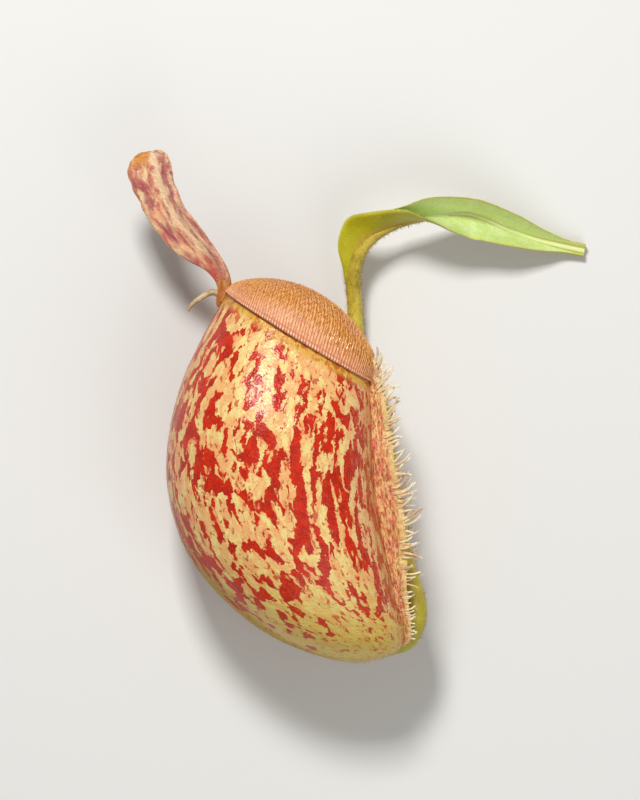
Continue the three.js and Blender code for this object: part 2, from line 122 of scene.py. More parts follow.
# Wings: place along the cup, width, and how far the blade points up, in degrees
NEAR_WING = [
    [0.0, 3.0, 75],
    [0.04, 3.4, 45],
    [0.11, 4.4, 18],
    [0.22, 5.2, 10],
    [0.33, 6.2, 5],
    [0.44, 6.4, 2],
    [0.55, 4.6, 0],
    [0.66, 3.0, -2],
    [0.77, 2.1, -5],
    [0.86, 2.0, -10],
]
FAR_WING = [
    [0.22, 1.6, 8],
    [0.3, 4.6, 6],
    [0.4, 5.6, 3],
    [0.5, 5.0, 0],
    [0.6, 3.8, -2],
    [0.72, 2.4, -4],
    [0.84, 1.8, -8],
]
WING_ANGLES = [[23], [20], [19], [17], [12]]
WING_FLARE = 24
WING_ROOT = 1.4
WING_WAVES = 37
WING_PLEATS = 260
FULL_WAVE_WIDTH = 4
WING_FLOW_WIDTH = 5
WING_FLOW_LENGTH = 80
FRINGE_END = 0.96
FRINGE_FADE = [0.52, 0.84, 0.28]
FRINGE_CROWDING = 1.15
FRINGE_CLUMPS = 88
FRINGE_CLUMPING = 0.006
FILAMENT_LIFT = [46, -14, 30]
FILAMENT_SPLAY = [6, 50]
FILAMENT_CURL = [10, 75]
FILAMENT_CURLED_BACK = 0.14  # share of the filaments that curl the other way
FILAMENT_SUNK = [0.8, 2.0]  # how far inside the blade's edge they start
FILAMENT_SEAT = 0.12  # height of their middle over the blade's
FILAMENT_RADII = [0.78, 1.12]
FILAMENT_STATIONS = 10
FILAMENT_SIDES = 6
FILAMENT_PROFILE = [[0, 0.12, 0.3, 0.7, 0.93, 1], [0.7, 1.15, 1, 0.88, 0.82, 0.7]]

# The lid's middle line: x, y, height, half width, thickness
LID = [
    [-32.6, 24.8, 24.3, 1.1, 2.4],
    [-31.7, 28.2, 24.3, 1.7, 2.2],
    [-32.4, 31.3, 24.6, 2.4, 1.5],
    [-34.7, 34.7, 24.8, 3.3, 1.1],
    [-38.8, 38.9, 25.1, 5.1, 1.0],
    [-42.8, 43.3, 25.4, 5.7, 0.9],
    [-45.3, 47.2, 25.6, 5.9, 0.9],
    [-46.8, 50.6, 25.7, 6.0, 0.9],
    [-48.1, 54.0, 25.8, 6.7, 0.9],
    [-48.65, 57.1, 26.0, 6.6, 0.9],
    [-48.95, 59.5, 26.0, 5.3, 0.9],
    [-49.1, 60.68, 26.0, 3.0, 0.9],
]
LID_LENGTH = 42.0
LID_TURN = -35
LID_FOLD = 16
LID_CREASE = 0.3  # roundness of the fold, as a share of the half width
LID_RIB_WIDTH = 0.12  # of the rib under the fold, as a share of the half width
LID_RIB_SWELL = 0.8
LID_FADE = [0.3, 0.5, 0.9, 1.0]

# The fleshy foot that joins the lid to the back of the rim: x, y, height, radius
LID_ROOT = [
    [-33.4, 23.5, 24.2, 0.4],
    [-33.0, 24.5, 24.3, 1.0],
    [-32.5, 25.7, 24.3, 1.45],
    [-32.0, 27.2, 24.3, 1.6],
    [-31.7, 28.8, 24.4, 1.45],
    [-31.9, 30.6, 24.5, 0.9],
]

# The spur's middle line: x, y, height, radius
SPUR = [
    [-32.4, 26.0, 24.3, 0.9],
    [-34.6, 27.1, 24.3, 0.8],
    [-37.2, 26.0, 24.5, 0.65],
    [-39.4, 24.4, 24.7, 0.5],
    [-40.6, 22.6, 24.8, 0.32],
]
SPUR_HAIRS = 160

# The tendril's middle line from the foot of the cup to the leaf: x, y, height, radius
TENDRIL = [
    [6.4, -56.8, 24.3, 2.3],
    [10.9, -56.0, 24.3, 2.5],
    [13.3, -52.2, 24.0, 2.6],
    [13.8, -47.4, 23.4, 2.5],
    [12.6, -42.4, 22.6, 2.35],
    [10.6, -35.0, 21.6, 2.1],
    [8.9, -25.4, 20.9, 1.95],
    [7.5, -15.8, 20.3, 1.9],
    [6.6, -7.6, 18.9, 1.9],
    [5.7, -1.6, 15.4, 1.9],
    [4.2, 3.8, 11.0, 1.9],
    [2.3, 8.6, 7.5, 1.9],
    [0.4, 13.4, 5.9, 1.9],
    [-0.5, 19.0, 6.2, 1.85],
    [-0.8, 24.4, 7.4, 1.85],
    [-1.2, 28.6, 8.8, 1.85],
]

# The leaf's midrib: x, y, height, radius, half width of the near half of the blade, turn and half
# opening of the fold, and the far half's width over the near half's
LEAF = [
    [-1.2, 29.15, 8.9, 1.85, 1.9, -6, 7, 1],
    [-0.8, 32.9, 9.8, 1.7, 3.1, -6, 7, 1],
    [0.4, 36.7, 10.5, 1.5, 5.9, -6, 7, 1],
    [2.5, 39.4, 10.9, 1.35, 7.8, 8, 6, 0.9],
    [5.4, 41.7, 11.2, 1.25, 8.2, 44, 3, 0.8],
    [9.2, 43.6, 11.2, 1.15, 8.3, 62, 3, 0.82],
    [12.0, 44.5, 11.0, 1.1, 8.4, 70, 6, 0.92],
    [15.1, 45.2, 10.6, 1.1, 8.4, 79, 17, 1.02],
    [19.4, 46.0, 9.6, 1.1, 8.4, 92, 27, 1.06],
    [25.4, 46.3, 7.8, 1.15, 8.4, 102, 34, 1.05],
    [29.6, 45.4, 6.4, 1.2, 8.3, 97, 33, 1],
    [36.1, 42.6, 4.6, 1.25, 7.4, 90, 31, 1],
    [43.2, 40.2, 3.0, 1.35, 4.8, 90, 32, 1],
    [49.4, 38.7, 1.9, 1.5, 2.4, 90, 38, 1],
    [54.7, 37.6, 1.45, 1.6, 1.9, 90, 40, 1],
]
LEAF_THICKNESS = 0.75
LEAF_LENGTH = 75.0
LEAF_CREASE = 0.1  # roundness of the fold, as a share of the half width
LEAF_OPENS = 0.42  # where the midrib's side in the fold becomes bare
FURROW_DEPTH = 0.55  # as a share of the midrib's radius
TENDRIL_END = [-0.85, 25.6, 7.8, 1.78]  # where the leaf's midrib starts inside the tendril

# Every hair: points along it and round it, its start under the skin, and its tip's radius over its root's
HAIR_STATIONS = 4
HAIR_SIDES = 4
HAIR_ROOT = 0.15
HAIR_TAPER = 0.3
HAIR_LOWEST = 1.0  # no stem hair has its root nearer to the floor

# The camera looks straight down, with the photograph's frame and scale
IMAGE_WIDTH = 640
IMAGE_HEIGHT = 800
PIXELS_PER_MM = 4.2
ORIGIN_PIXEL = (358.5, 406.0)
SENSOR = 36.0

# Stage: the lights' places and sizes and the floor's size in metres, and the strength of the white world
KEY_LIGHT = ((-0.12, 0.45, 0.7), 0.16)
FILL_LIGHT = ((0.3, -0.5, 0.6), 0.7)
FLOOR_SIZE = 6.0
WORLD_STRENGTH = 0.27


# Formulas


def unit(vectors):
    return vectors / np.maximum(np.linalg.norm(vectors, axis=-1, keepdims=True), 1e-12)


def mixed(a, b, f):
    return a + (b - a) * f


def smooth_step(low, high, value):
    f = np.clip((value - low) / (high - low), 0, 1)
    return f * f * (3 - 2 * f)


def window(start, full, fading, end, value):
    """A value that rises to 1 from start to full, and falls to 0 from fading to end."""
    return smooth_step(start, full, value) * smooth_step(end, fading, value)


def bell(middle, width, value):
    return np.exp(-(((value - middle) / width) ** 2))


def stations(count):
    """Places along a piece from 0 to 1, as a column."""
    return np.linspace(0, 1, count)[:, None]


def whole_turn(sides):
    """Angles all the way round, the last of them at the first."""
    return np.linspace(0, 2 * math.pi, sides + 1)


def turned(a, b, angle):
    """The vector at an angle from a towards b."""
    return a * np.cos(angle)[..., None] + b * np.sin(angle)[..., None]


def pointing(rise, aside):
    """The direction that rises by one angle in the picture and leaves the picture by the other."""
    level = np.cos(aside)
    return np.stack(np.broadcast_arrays(np.cos(rise) * level, np.sin(rise) * level, np.sin(aside)), -1)


def left_and_up(along):
    """The level direction to the left of a stem, and the one square to it and to the stem."""
    left = unit(np.stack([-along[..., 1], along[..., 0], 0 * along[..., 2]], -1))
    return left, np.cross(along, left)


def between(table, u):
    """Smooth values between the rows of a table, for u from 0 at the first row to 1 at the last."""
    rows = np.asarray(table, float)
    last = len(rows) - 1
    place = np.clip(np.asarray(u, float), 0, 1) * last
    i = np.minimum(place.astype(int), last - 1)
    f = (place - i)[..., None]
    p, q, r, s = (rows[np.clip(i + k, 0, last)] for k in (-1, 0, 1, 2))
    bending = (2 * p - 5 * q + 4 * r - s) * f**2
    easing = (3 * q - p - 3 * r + s) * f**3
    return q + 0.5 * ((r - p) * f + bending + easing)


def direction(table, u):
    """The direction of a table's middle line, whose first three columns are x, y and height."""
    step = 0.01
    return unit(between(table, u + step)[..., :3] - between(table, u - step)[..., :3])


def section(place):
    """Centre, half length and half depth of the cup at a place, 0 at the mouth and 1 at the foot."""
    back_x, back_y, front_x, front_y, depth = np.moveaxis(between(CUP_TABLE, place * TABLE_END), -1, 0)
    level = np.zeros_like(depth)
    half = np.stack([(front_x - back_x) / 2, (front_y - back_y) / 2, level], -1)
    centre = np.stack([(front_x + back_x) / 2, (front_y + back_y) / 2, level + AXIS_HEIGHT], -1)
    return centre, half, np.linalg.norm(half, axis=-1) * depth


def roundness(angle):
    n = np.where(np.cos(angle) > 0, FRONT_ROUNDNESS, BACK_ROUNDNESS)
    return (np.abs(np.cos(angle)) ** n + np.abs(np.sin(angle)) ** n) ** (-1 / n)


def outer_point(place, angle):
    centre, half, depth = section(place)
    return centre + turned(half, UP * depth[..., None], angle) * roundness(angle)[..., None]


def outer_normal(place, angle):
    step = 1e-3
    low = np.clip(place - step, 0, 1 - 2 * step)
    along = outer_point(low + 2 * step, angle) - outer_point(low, angle)
    around = outer_point(low + step, angle + step) - outer_point(low + step, angle - step)
    return unit(np.cross(around, along))


def cup_point(place, angle, inside=0.0, relief=0.0):
    """A point a depth inside the cup's outer face. The belly is pressed flat where it rests."""
    place, angle = np.broadcast_arrays(place, angle)
    point = outer_point(place, angle)
    point = point + outer_normal(place, angle) * np.asarray(relief - inside)[..., None]
    point[..., 2] = np.maximum(point[..., 2], inside)
    return point


def unbent(place, angle):
    """Places on the cup's skin as they would lie if its middle line were straight."""
    line = np.linspace(0, 1, 201)
    steps = np.linalg.norm(np.diff(section(line)[0], axis=0), axis=1)
    run = np.interp(place, line, np.append(0, np.cumsum(steps)))
    _, half, depth = section(place)
    reach = roundness(angle)
    forward = np.linalg.norm(half, axis=-1) * reach * np.cos(angle)
    sideways = depth * reach * np.sin(angle)
    return np.stack(np.broadcast_arrays(forward, sideways, run), -1)


def foot_point(inside=0.0):
    half = section(np.array(NEAR_FOOT))[1]
    inwards = unit(np.array([-half[1], half[0], 0.0]))
    return np.array([*FOOT, AXIS_HEIGHT]) + inwards * inside


MOUTH_CENTRE, MOUTH_HALF, MOUTH_DEPTH = section(np.array(0.0))
MOUTH_LENGTH = float(np.linalg.norm(MOUTH_HALF))
MOUTH_FORWARD = unit(MOUTH_HALF)
MOUTH_OUTWARDS = np.array([-MOUTH_FORWARD[1], MOUTH_FORWARD[0], 0.0])


def collar_point(angle, length, depth, shift, height, easing=0.0):
    """A point on a ring over the mouth, whose outline eases from the rim's to an ellipse."""
    r = mixed(roundness(angle), 1.0, easing)
    forward = (shift + length * r * np.cos(angle))[..., None] * MOUTH_FORWARD
    sideways = (depth * r * np.sin(angle))[..., None] * UP
    return MOUTH_CENTRE + forward + sideways + (height + 0 * angle)[..., None] * MOUTH_OUTWARDS


def overhang(angle):
    return mixed(END_OVERHANG, SIDE_OVERHANG, np.sin(angle) ** 2)


def droop(angle):
    """How far the collar's lip hangs down beside the cup."""
    return LIP_DROOP * np.abs(np.sin(angle)) ** 0.6


def collar_face(v, angle):
    """The collar's upper face: v is 0 at the lip, 1 at the crest and 2 at the inner margin."""
    end = mixed(CREST_BACK, CREST_FRONT, (1 + np.cos(angle)) / 2)
    crest = mixed(end, CREST_SIDE, np.abs(np.sin(angle)) ** SADDLE)
    rise = np.minimum(v, 1) * math.pi / 2
    fall = np.maximum(v - 1, 0) * math.pi / 2
    inset = 1 - np.cos(rise)
    turn = ROLL * np.sin(fall)
    hang = droop(angle) * (1 - smooth_step(0, 0.4, v))
    return collar_point(
        angle,
        mixed(MOUTH_LENGTH + overhang(angle), CREST_LENGTH, inset) - turn,
        mixed(MOUTH_DEPTH + overhang(angle), CREST_DEPTH, inset) - turn,
        CREST_SHIFT * inset,
        SEAT_GAP + (crest - SEAT_GAP) * np.sin(rise) - ROLL_DROP * (1 - np.cos(fall)) - hang,
        inset,
    )


def collar_normal(v, angle):
    step = 1e-3
    across = collar_face(v + step, angle) - collar_face(v - step, angle)
    around = collar_face(v, angle + step) - collar_face(v, angle - step)
    return unit(np.cross(across, around))


def rib_height(ribs, v, angle):
    """The ribs' height, from -1 to 1. They lean towards the lid and wander a little on their way."""
    wander = 0.9 * np.sin(23 * angle + 5 * v) + 0.9 * np.sin(57 * angle - 11 * v + 1)
    wander = wander + 0.8 * np.sin(101 * angle + 23 * v)
    lean = RIB_LEAN * np.sin(angle) * (1 - 0.6 * np.cos(angle)) * min(v, 1)
    return np.cos(ribs * (angle - lean) + wander * min(1, 4 * v))


def wing_edge(table, side, u):
    """A point of a wing's root, the direction in which its blade stands there, its width and wave."""
    place, width, rise = np.moveaxis(between(table, u), -1, 0)
    turn = between(WING_ANGLES, place)[..., 0]
    out = pointing(rise * DEGREE, side * WING_FLARE * DEGREE)
    wave = np.sin(u * WING_WAVES) * np.minimum(1, width / FULL_WAVE_WIDTH)
    return cup_point(place, side * turn * DEGREE), out, width, wave


def wing_normal(side, out):
    return unit(np.cross(np.array([0.0, -side, 0.0]), out))


# Meshes


def deselect():
    bpy.ops.object.select_all(action="DESELECT")


def close_up(piece, seam=0.0):
    """Merges points nearer than the seam, points a piece's faces outwards and smooths it."""
    deselect()
    piece.select_set(True)
    bpy.context.view_layer.objects.active = piece
    bpy.ops.object.mode_set(mode="EDIT")
    bpy.ops.mesh.select_all(action="SELECT")
    if seam:
        bpy.ops.mesh.remove_doubles(threshold=seam)
    bpy.ops.mesh.normals_make_consistent(inside=False)
    bpy.ops.object.mode_set(mode="OBJECT")
    bpy.ops.object.shade_smooth_by_angle(angle=SMOOTH_ANGLE * DEGREE)
    piece.select_set(False)


def spread(values, net):
    """A mark's values at every point of a net."""
    return np.broadcast_to(values, (*net.shape[:2], *values.shape[2:]))


def sheet(name, net, **marks):
    """A grid primitive whose points are moved to a net of places, with marks kept as attributes."""
    rows, columns = net.shape[:2]
    deselect()
    bpy.ops.mesh.primitive_grid_add(x_subdivisions=columns - 1, y_subdivisions=rows - 1, size=1)
    piece = bpy.context.object
    piece.name = piece.data.name = name
    piece.data.vertices.foreach_set("co", (net * MM).ravel())
    for mark, values in marks.items():
        kind, field = ("FLOAT_VECTOR", "vector") if values.ndim == 3 else ("FLOAT", "value")
        attribute = piece.data.attributes.new(mark, kind, "POINT")
        attribute.data.foreach_set(field, spread(values, net).ravel())
    close_up(piece, SEAM)
    return piece


def closed_sheet(name, net, **marks):
    """A sheet with a pole at each end, so that it closes. None of it is under the floor."""
    net[..., 2] = np.maximum(net[..., 2], 0.0)
    first, last = (np.broadcast_to(net[i].mean(0), (1, *net[i].shape)) for i in (0, -1))
    rows = np.clip(np.arange(-1, len(net) + 1), 0, len(net) - 1)
    padded = {mark: spread(values, net)[rows] for mark, values in marks.items()}
    return sheet(name, np.concatenate([first, net, last]), **padded)


def blade_sheet(name, u, lines, point_at, thickness_at, breadth, length):
    """A thin closed blade: out along one face from margin to margin, and back along the other.

    Lines are its points' places across, and breadth and length are those of its skin laid out flat.
    """
    f = np.concatenate([lines, lines[::-1], lines[:1]])
    face = np.repeat([1.0, -1.0, 1.0], [len(lines), len(lines), 1])
    rounding = np.sqrt(np.clip(1 - np.abs(f) ** 8, 0, 1))
    middle, normal = point_at(f)
    net = middle + normal * (thickness_at(f, face) * rounding)[..., None]
    flow = np.stack(np.broadcast_arrays(breadth * f, face, length * u), -1)
    return closed_sheet(name, net, flow=flow, across=f, along=u, face=face)


def stem_sheet(name, table, rows, sides, relief, flare=0.0):
    """A tapered round stem along a table, closed at both ends and flared at the first."""
    u = np.linspace(0, 1, rows)
    x, y, z, radius = np.moveaxis(between(table, u), -1, 0)
    radius = radius * (1 + flare * bell(0, 0.03, u))
    along = direction(table, u)
    across = np.zeros((rows, 3))
    start = UP
    for i in range(rows):
        start = unit(start - along[i] * start.dot(along[i]))
        across[i] = start
    angle = whole_turn(sides)
    swell = radius[:, None] * (1 + relief * np.sin(3 * angle + 9 * u[:, None]))
    ring = turned(across[:, None], np.cross(along, across)[:, None], angle)
    return closed_sheet(name, np.stack([x, y, z], -1)[:, None] + ring * swell[..., None])


def strands(name, paths, radii, sides):
    """One mesh of many closed tapered stems. Paths are stems by rings by 3, and radii stems by rings."""
    stems, rings = radii.shape
    along = unit(np.gradient(paths, axis=1))
    steep = np.abs(along[:, :1, 2:]) > 0.8
    lean = np.where(steep, np.array([1.0, 0.0, 0.0]), UP)
    across = unit(np.cross(along, lean))
    j = np.arange(sides)
    k = (j + 1) % sides
    ring = turned(across[:, :, None], np.cross(along, across)[:, :, None], j * 2 * math.pi / sides)
    points = paths[:, :, None] + ring * radii[:, :, None, None]
    end = paths[:, -1:] + along[:, -1:] * radii[:, -1:, None] * 0.6
    places = np.concatenate([points.reshape(stems, -1, 3), paths[:, :1], end], 1)
    per_stem = rings * sides + 2
    i = np.arange(rings - 1)[:, None] * sides
    quads = np.stack([i + j, i + k, i + k + sides, i + j + sides], -1).reshape(-1, 4)
    last = (rings - 1) * sides
    caps = [[per_stem - 2, b, a] for a, b in zip(j, k)]
    caps += [[per_stem - 1, last + a, last + b] for a, b in zip(j, k)]
    offsets = np.arange(stems)[:, None, None] * per_stem
    faces = (offsets + quads).reshape(-1, 4).tolist() + (offsets + caps).reshape(-1, 3).tolist()
    mesh = bpy.data.meshes.new(name)
    mesh.from_pydata((places.reshape(-1, 3) * MM).tolist(), [], faces)
    reach = np.append(np.repeat(np.linspace(0, 1, rings), sides), [0, 1])
    mesh.attributes.new("reach", "FLOAT", "POINT").data.foreach_set("value", np.tile(reach, stems))
    piece = bpy.data.objects.new(name, mesh)
    bpy.context.scene.collection.objects.link(piece)
    close_up(piece)
    return piece


def hair(name, roots, headings, lengths, radius, seed, sag=(0.0, 0.0, 0.0)):
    """Short bent hairs at roots, each leaning its own way."""
    draw = np.random.default_rng(seed)
    lean = unit(headings + draw.normal(0, 0.25, (len(roots), 3)))
    f = stations(HAIR_STATIONS)
    reach = lengths[:, None, None] * f
    paths = (roots - headings * HAIR_ROOT)[:, None] + lean[:, None] * reach + np.array(sag) * (reach * f)
    paths[..., 2] = np.maximum(paths[..., 2], radius)
    radii = radius * np.linspace(1, HAIR_TAPER, HAIR_STATIONS) * np.ones((len(roots), 1))
    return strands(name, paths, radii, HAIR_SIDES)


def stem_hair(name, table, count, seed, span, lengths, radius=0.04, root=0.97, crowding=1, is_bare=None):
    """Hairs that stand out all round a stem, but where it is bare or near the floor.

    Root is where a hair starts, as a share of the stem's radius.
    """
    draw = np.random.default_rng(seed)
    u = draw.uniform(*span, count) ** crowding
    middle = between(table, u)
    headings = unit(np.cross(direction(table, u), unit(draw.normal(0, 1, (count, 3)))))
    roots = middle[:, :3] + headings * middle[:, 3:4] * root
    kept = roots[:, 2] > HAIR_LOWEST
    if is_bare:
        kept = kept & ~is_bare(u, headings)
    lengths = draw.uniform(*lengths, kept.sum())
    return hair(name, roots[kept], headings[kept], lengths, radius, seed + 1)


def dress(piece, material, slot, *nodes):
    """Gives a piece its material, hangs it under the root body and hides the solids that it stands for."""
    piece.data.materials.clear()
    piece.data.materials.append(material)
    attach(piece, "root")
    if nodes:
        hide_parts(*nodes)


# Node trees


def linear(code):
    """A colour written as sRGB hex, as the linear values that a shader takes."""
    values = [int(code[k : k + 2], 16) / 255 for k in (1, 3, 5)]
    return [v / 12.92 if v <= 0.04045 else ((v + 0.055) / 1.055) ** 2.4 for v in values] + [1.0]


class Tree:
    """Adds nodes to a tree. Inputs are numbers, colours, or the outputs of other nodes."""

    def __init__(self, tree):
        self.tree = tree

    def node(self, kind, settings=None, inputs=None):
        made = self.tree.nodes.new(kind)
        for name, value in (settings or {}).items():
            setattr(made, name, value)
        for name, value in (inputs or {}).items():
            self.feed(made.inputs[name], value)
        return made

    def feed(self, socket, value):
        if isinstance(value, bpy.types.NodeSocket):
            self.tree.links.new(value, socket)
        elif isinstance(value, str):
            socket.default_value = linear(value)
        else:
            socket.default_value = value

    def mix(self, factor, a, b):
        return self.node("ShaderNodeMix", {"data_type": "RGBA"}, {0: factor, 6: a, 7: b}).outputs[2]

    def layered(self, colour, *layers):
        """A colour with layers over it, each a mask and the colour that it brings."""
        for mask, tint in layers:
            colour = self.mix(mask, colour, tint)
        return colour

    def weighed(self, factor, a, b):
        return self.node("ShaderNodeMix", {}, {0: factor, 2: a, 3: b}).outputs[0]

    def math(self, operation, value, *others):
        """The operation on a value alone, or on it and each of the others in turn."""
        settings = {"operation": operation}
        if not others:
            return self.node("ShaderNodeMath", settings, {0: value}).outputs[0]
        for other in others:
            value = self.node("ShaderNodeMath", settings, {0: value, 1: other}).outputs[0]
        return value

    def times(self, *values):
        return self.math("MULTIPLY", *values)

    def plus(self, *values):
        return self.math("ADD", *values)

    def minus(self, a, b):
        return self.math("SUBTRACT", a, b)

    def vector(self, operation, a, b):
        made = self.node("ShaderNodeVectorMath", {"operation": operation}, {0: a})
        self.feed(made.inputs["Scale" if operation == "SCALE" else 1], b)
        return made.outputs[0]

    def moved(self, place, *shift):
        return self.vector("ADD", place, shift)

    def smooth(self, value, low, high, start=0.0, end=1.0):
        inputs = {"Value": value, "From Min": low, "From Max": high, "To Min": start, "To Max": end}
        return self.node("ShaderNodeMapRange", {"interpolation_type": "SMOOTHSTEP"}, inputs).outputs[0]

    def window(self, value, start, full, fading, end):
        """A mask that rises from start to full and falls from fading to end."""
        return self.times(self.smooth(value, start, full), self.smooth(value, end, fading))

    def cut(self, field, level, softness):
        """A mask that is 1 where a field lies over a level."""
        return self.smooth(field, self.minus(level, softness), self.plus(level, softness))

    def noise(self, vector, scale, detail=2.0, rough=0.5, output=0):
        inputs = {"Vector": vector, "Scale": scale, "Detail": detail, "Roughness": rough}
        return self.node("ShaderNodeTexNoise", {}, inputs).outputs[output]

    def mark(self, name, output=2):
        return self.node("ShaderNodeAttribute", {"attribute_name": name}).outputs[output]

    def place(self):
        """Places on the piece, in millimetres."""
        return self.vector("SCALE", self.node("ShaderNodeTexCoord").outputs["Object"], 1 / MM)

    def parts(self, vector):
        return self.node("ShaderNodeSeparateXYZ", {}, {0: vector}).outputs

    def group(self, name, **inputs):
        return self.node("ShaderNodeGroup", {"node_tree": bpy.data.node_groups[name]}, inputs).outputs[0]

    def patches(self, flow, width, length, tear, chips):
        return self.group("Skin Patches", Flow=flow, Width=width, Length=length, Tear=tear, Chips=chips)

    def veins(self, flow, width, length, cover):
        return self.group("Skin Veins", Flow=flow, Width=width, Length=length, Cover=cover)

    def grain(self, flow, cell):
        return self.group("Skin Grain", Flow=flow, Cell=cell)

    def bump(self, height, distance, strength, normal=None):
        inputs = {"Height": height, "Distance": distance, "Strength": strength}
        if normal is not None:
            inputs["Normal"] = normal
        return self.node("ShaderNodeBump", {}, inputs).outputs[0]


class Skin(Tree):
    """The tree of a new material."""

    def __init__(self, name):
        self.material = bpy.data.materials.new(name)
        self.material.use_nodes = True
        super().__init__(self.material.node_tree)

    def finish(self, **inputs):
        """Feeds the shader's inputs, in whose names _ is a space, and gives the material."""
        shader = self.tree.nodes["Principled BSDF"].inputs
        for name, value in inputs.items():
            self.feed(shader[name.replace("_", " ")], value)
        return self.material


def new_group(name, output, **inputs):
    """A group that takes the flow of a skin and some numbers, and puts out one value."""
    tree = bpy.data.node_groups.new(name, "ShaderNodeTree")
    tree.interface.new_socket("Flow", in_out="INPUT", socket_type="NodeSocketVector")
    for label, default in inputs.items():
        socket = tree.interface.new_socket(label, in_out="INPUT", socket_type="NodeSocketFloat")
        socket.default_value = default
    tree.interface.new_socket(output, in_out="OUTPUT", socket_type="NodeSocketFloat")
    given = tree.nodes.new("NodeGroupInput").outputs
    return Tree(tree), given, tree.nodes.new("NodeGroupOutput").inputs[output]


def drawn_out(t, given, place):
    """Places on a skin in units of the group's width and length."""
    across = t.math("DIVIDE", 1.0, given["Width"])
    along = t.math("DIVIDE", 1.0, given["Length"])
    stretch = t.node("ShaderNodeCombineXYZ", {}, {0: across, 1: across, 2: along}).outputs[0]
    return t.vector("MULTIPLY", place, stretch)


def patches_group():
    """A field of patches drawn out along the flow of the skin, to be cut at a level."""
    numbers = {"Width": 3.0, "Length": 5.0, "Tear": 0.6, "Chips": 0.4}
    t, given, result = new_group("Skin Patches", "Field", **numbers)
    fray = t.moved(t.noise(given["Flow"], 1.0, 2.0, 0.55, 1), -0.5, -0.5, -0.5)
    torn = t.vector("ADD", given["Flow"], t.vector("SCALE", fray, t.times(given["Tear"], 2.0)))
    place = drawn_out(t, given, torn)
    bend = t.moved(t.noise(place, 0.6, 1.0, 0.5, 1), -0.5, -0.5, -0.5)
    bent = t.vector("ADD", place, t.vector("SCALE", bend, 1.3))
    chips = t.node("ShaderNodeTexVoronoi", {}, {"Vector": bent, "Scale": 1.0}).outputs["Color"]
    t.feed(result, t.weighed(given["Chips"], t.noise(bent, 0.9, 1.0, 0.45), t.parts(chips)[0]))


def grain_group():
    """The fine pebbled grain of a leaf's skin, as a height."""
    t, given, result = new_group("Skin Grain", "Height", Cell=0.4)
    scale = t.math("DIVIDE", 1.0, given["Cell"])
    inputs = {"Vector": given["Flow"], "Scale": scale}
    cells = t.node("ShaderNodeTexVoronoi", {"feature": "SMOOTH_F1"}, inputs).outputs["Distance"]
    soft = t.noise(given["Flow"], t.times(scale, 0.4), 3.0, 0.6)
    t.feed(result, t.minus(soft, t.times(cells, 0.6)))


def veins_group():
    """Thin lines along the flow of the skin, broken and wandering."""
    t, given, result = new_group("Skin Veins", "Mask", Width=0.8, Length=12.0, Cover=0.4)
    field = t.noise(drawn_out(t, given, given["Flow"]), 1.0, 2.0, 0.55)
    t.feed(result, t.cut(field, t.minus(1.0, given["Cover"]), 0.05))


def cup_ground(t, look, flow, down, front, keel):
    """The cream and peach ground of the cup, olive towards the foot and along the keel. The olive is partly
    the skin's colour and partly painted shade.
    """
    warm = t.patches(t.moved(flow, 31, 17, 5), 1.7, 3.8, 0.8, 0.12)
    return t.layered(
        tuple(look.cream),
        (t.cut(warm, t.smooth(front, -0.2, -0.9, 0.49, 0.46), 0.09), tuple(look.peach)),
        (t.smooth(t.noise(flow, 0.55), 0.35, 0.7, 0.0, 0.45), "#DFC080"),
        (t.smooth(front, 0.45, 0.95, 0.0, 0.5), "#E3A27A"),
        # Partly the skin's colour, partly painted shade: olive towards the foot
        (t.smooth(down, 42.0, 82.0, 0.0, 0.78), "#C4AC3A"),
        # Partly the skin's colour, partly painted shade: deep olive along the keel
        (t.times(keel, 0.88), "#AE9416"),
    )


def cup_level(t, flow, down, front, keel):
    """The level over which a patch is red: sparse near the rim, the keel and the foot."""
    near_rim = t.times(t.smooth(down, 2.2, 10.8, 1.0, 0.0), t.smooth(front, -0.6, 0.4, 0.02, 0.17))
    below = t.times(t.smooth(down, 54.0, 80.0, 0.0, 0.15), t.smooth(front, -0.8, -0.2, 0.4, 1.0))
    bare = t.times(t.window(down, 48.0, 56.0, 62.0, 72.0), t.window(front, -0.5, -0.2, 0.05, 0.35), 0.035)
    toe = t.smooth(down, 74.0, 88.0, 0.0, 0.16)
    back = t.times(t.smooth(front, -0.2, -0.65, 0.0, 0.055), t.smooth(down, 56.0, 42.0))
    margin = t.times(t.smooth(front, -0.68, -0.86, 0.0, -0.095), t.smooth(down, 60.0, 48.0))
    beside = t.times(t.smooth(front, -0.2, 0.5, 0.0, 0.035), t.smooth(down, 40.0, 56.0))
    drift = t.times(t.minus(t.noise(flow, 0.07, 1.0), 0.5), 0.1)
    return t.plus(0.503, near_rim, below, bare, toe, back, margin, beside, t.times(keel, 0.1), drift)


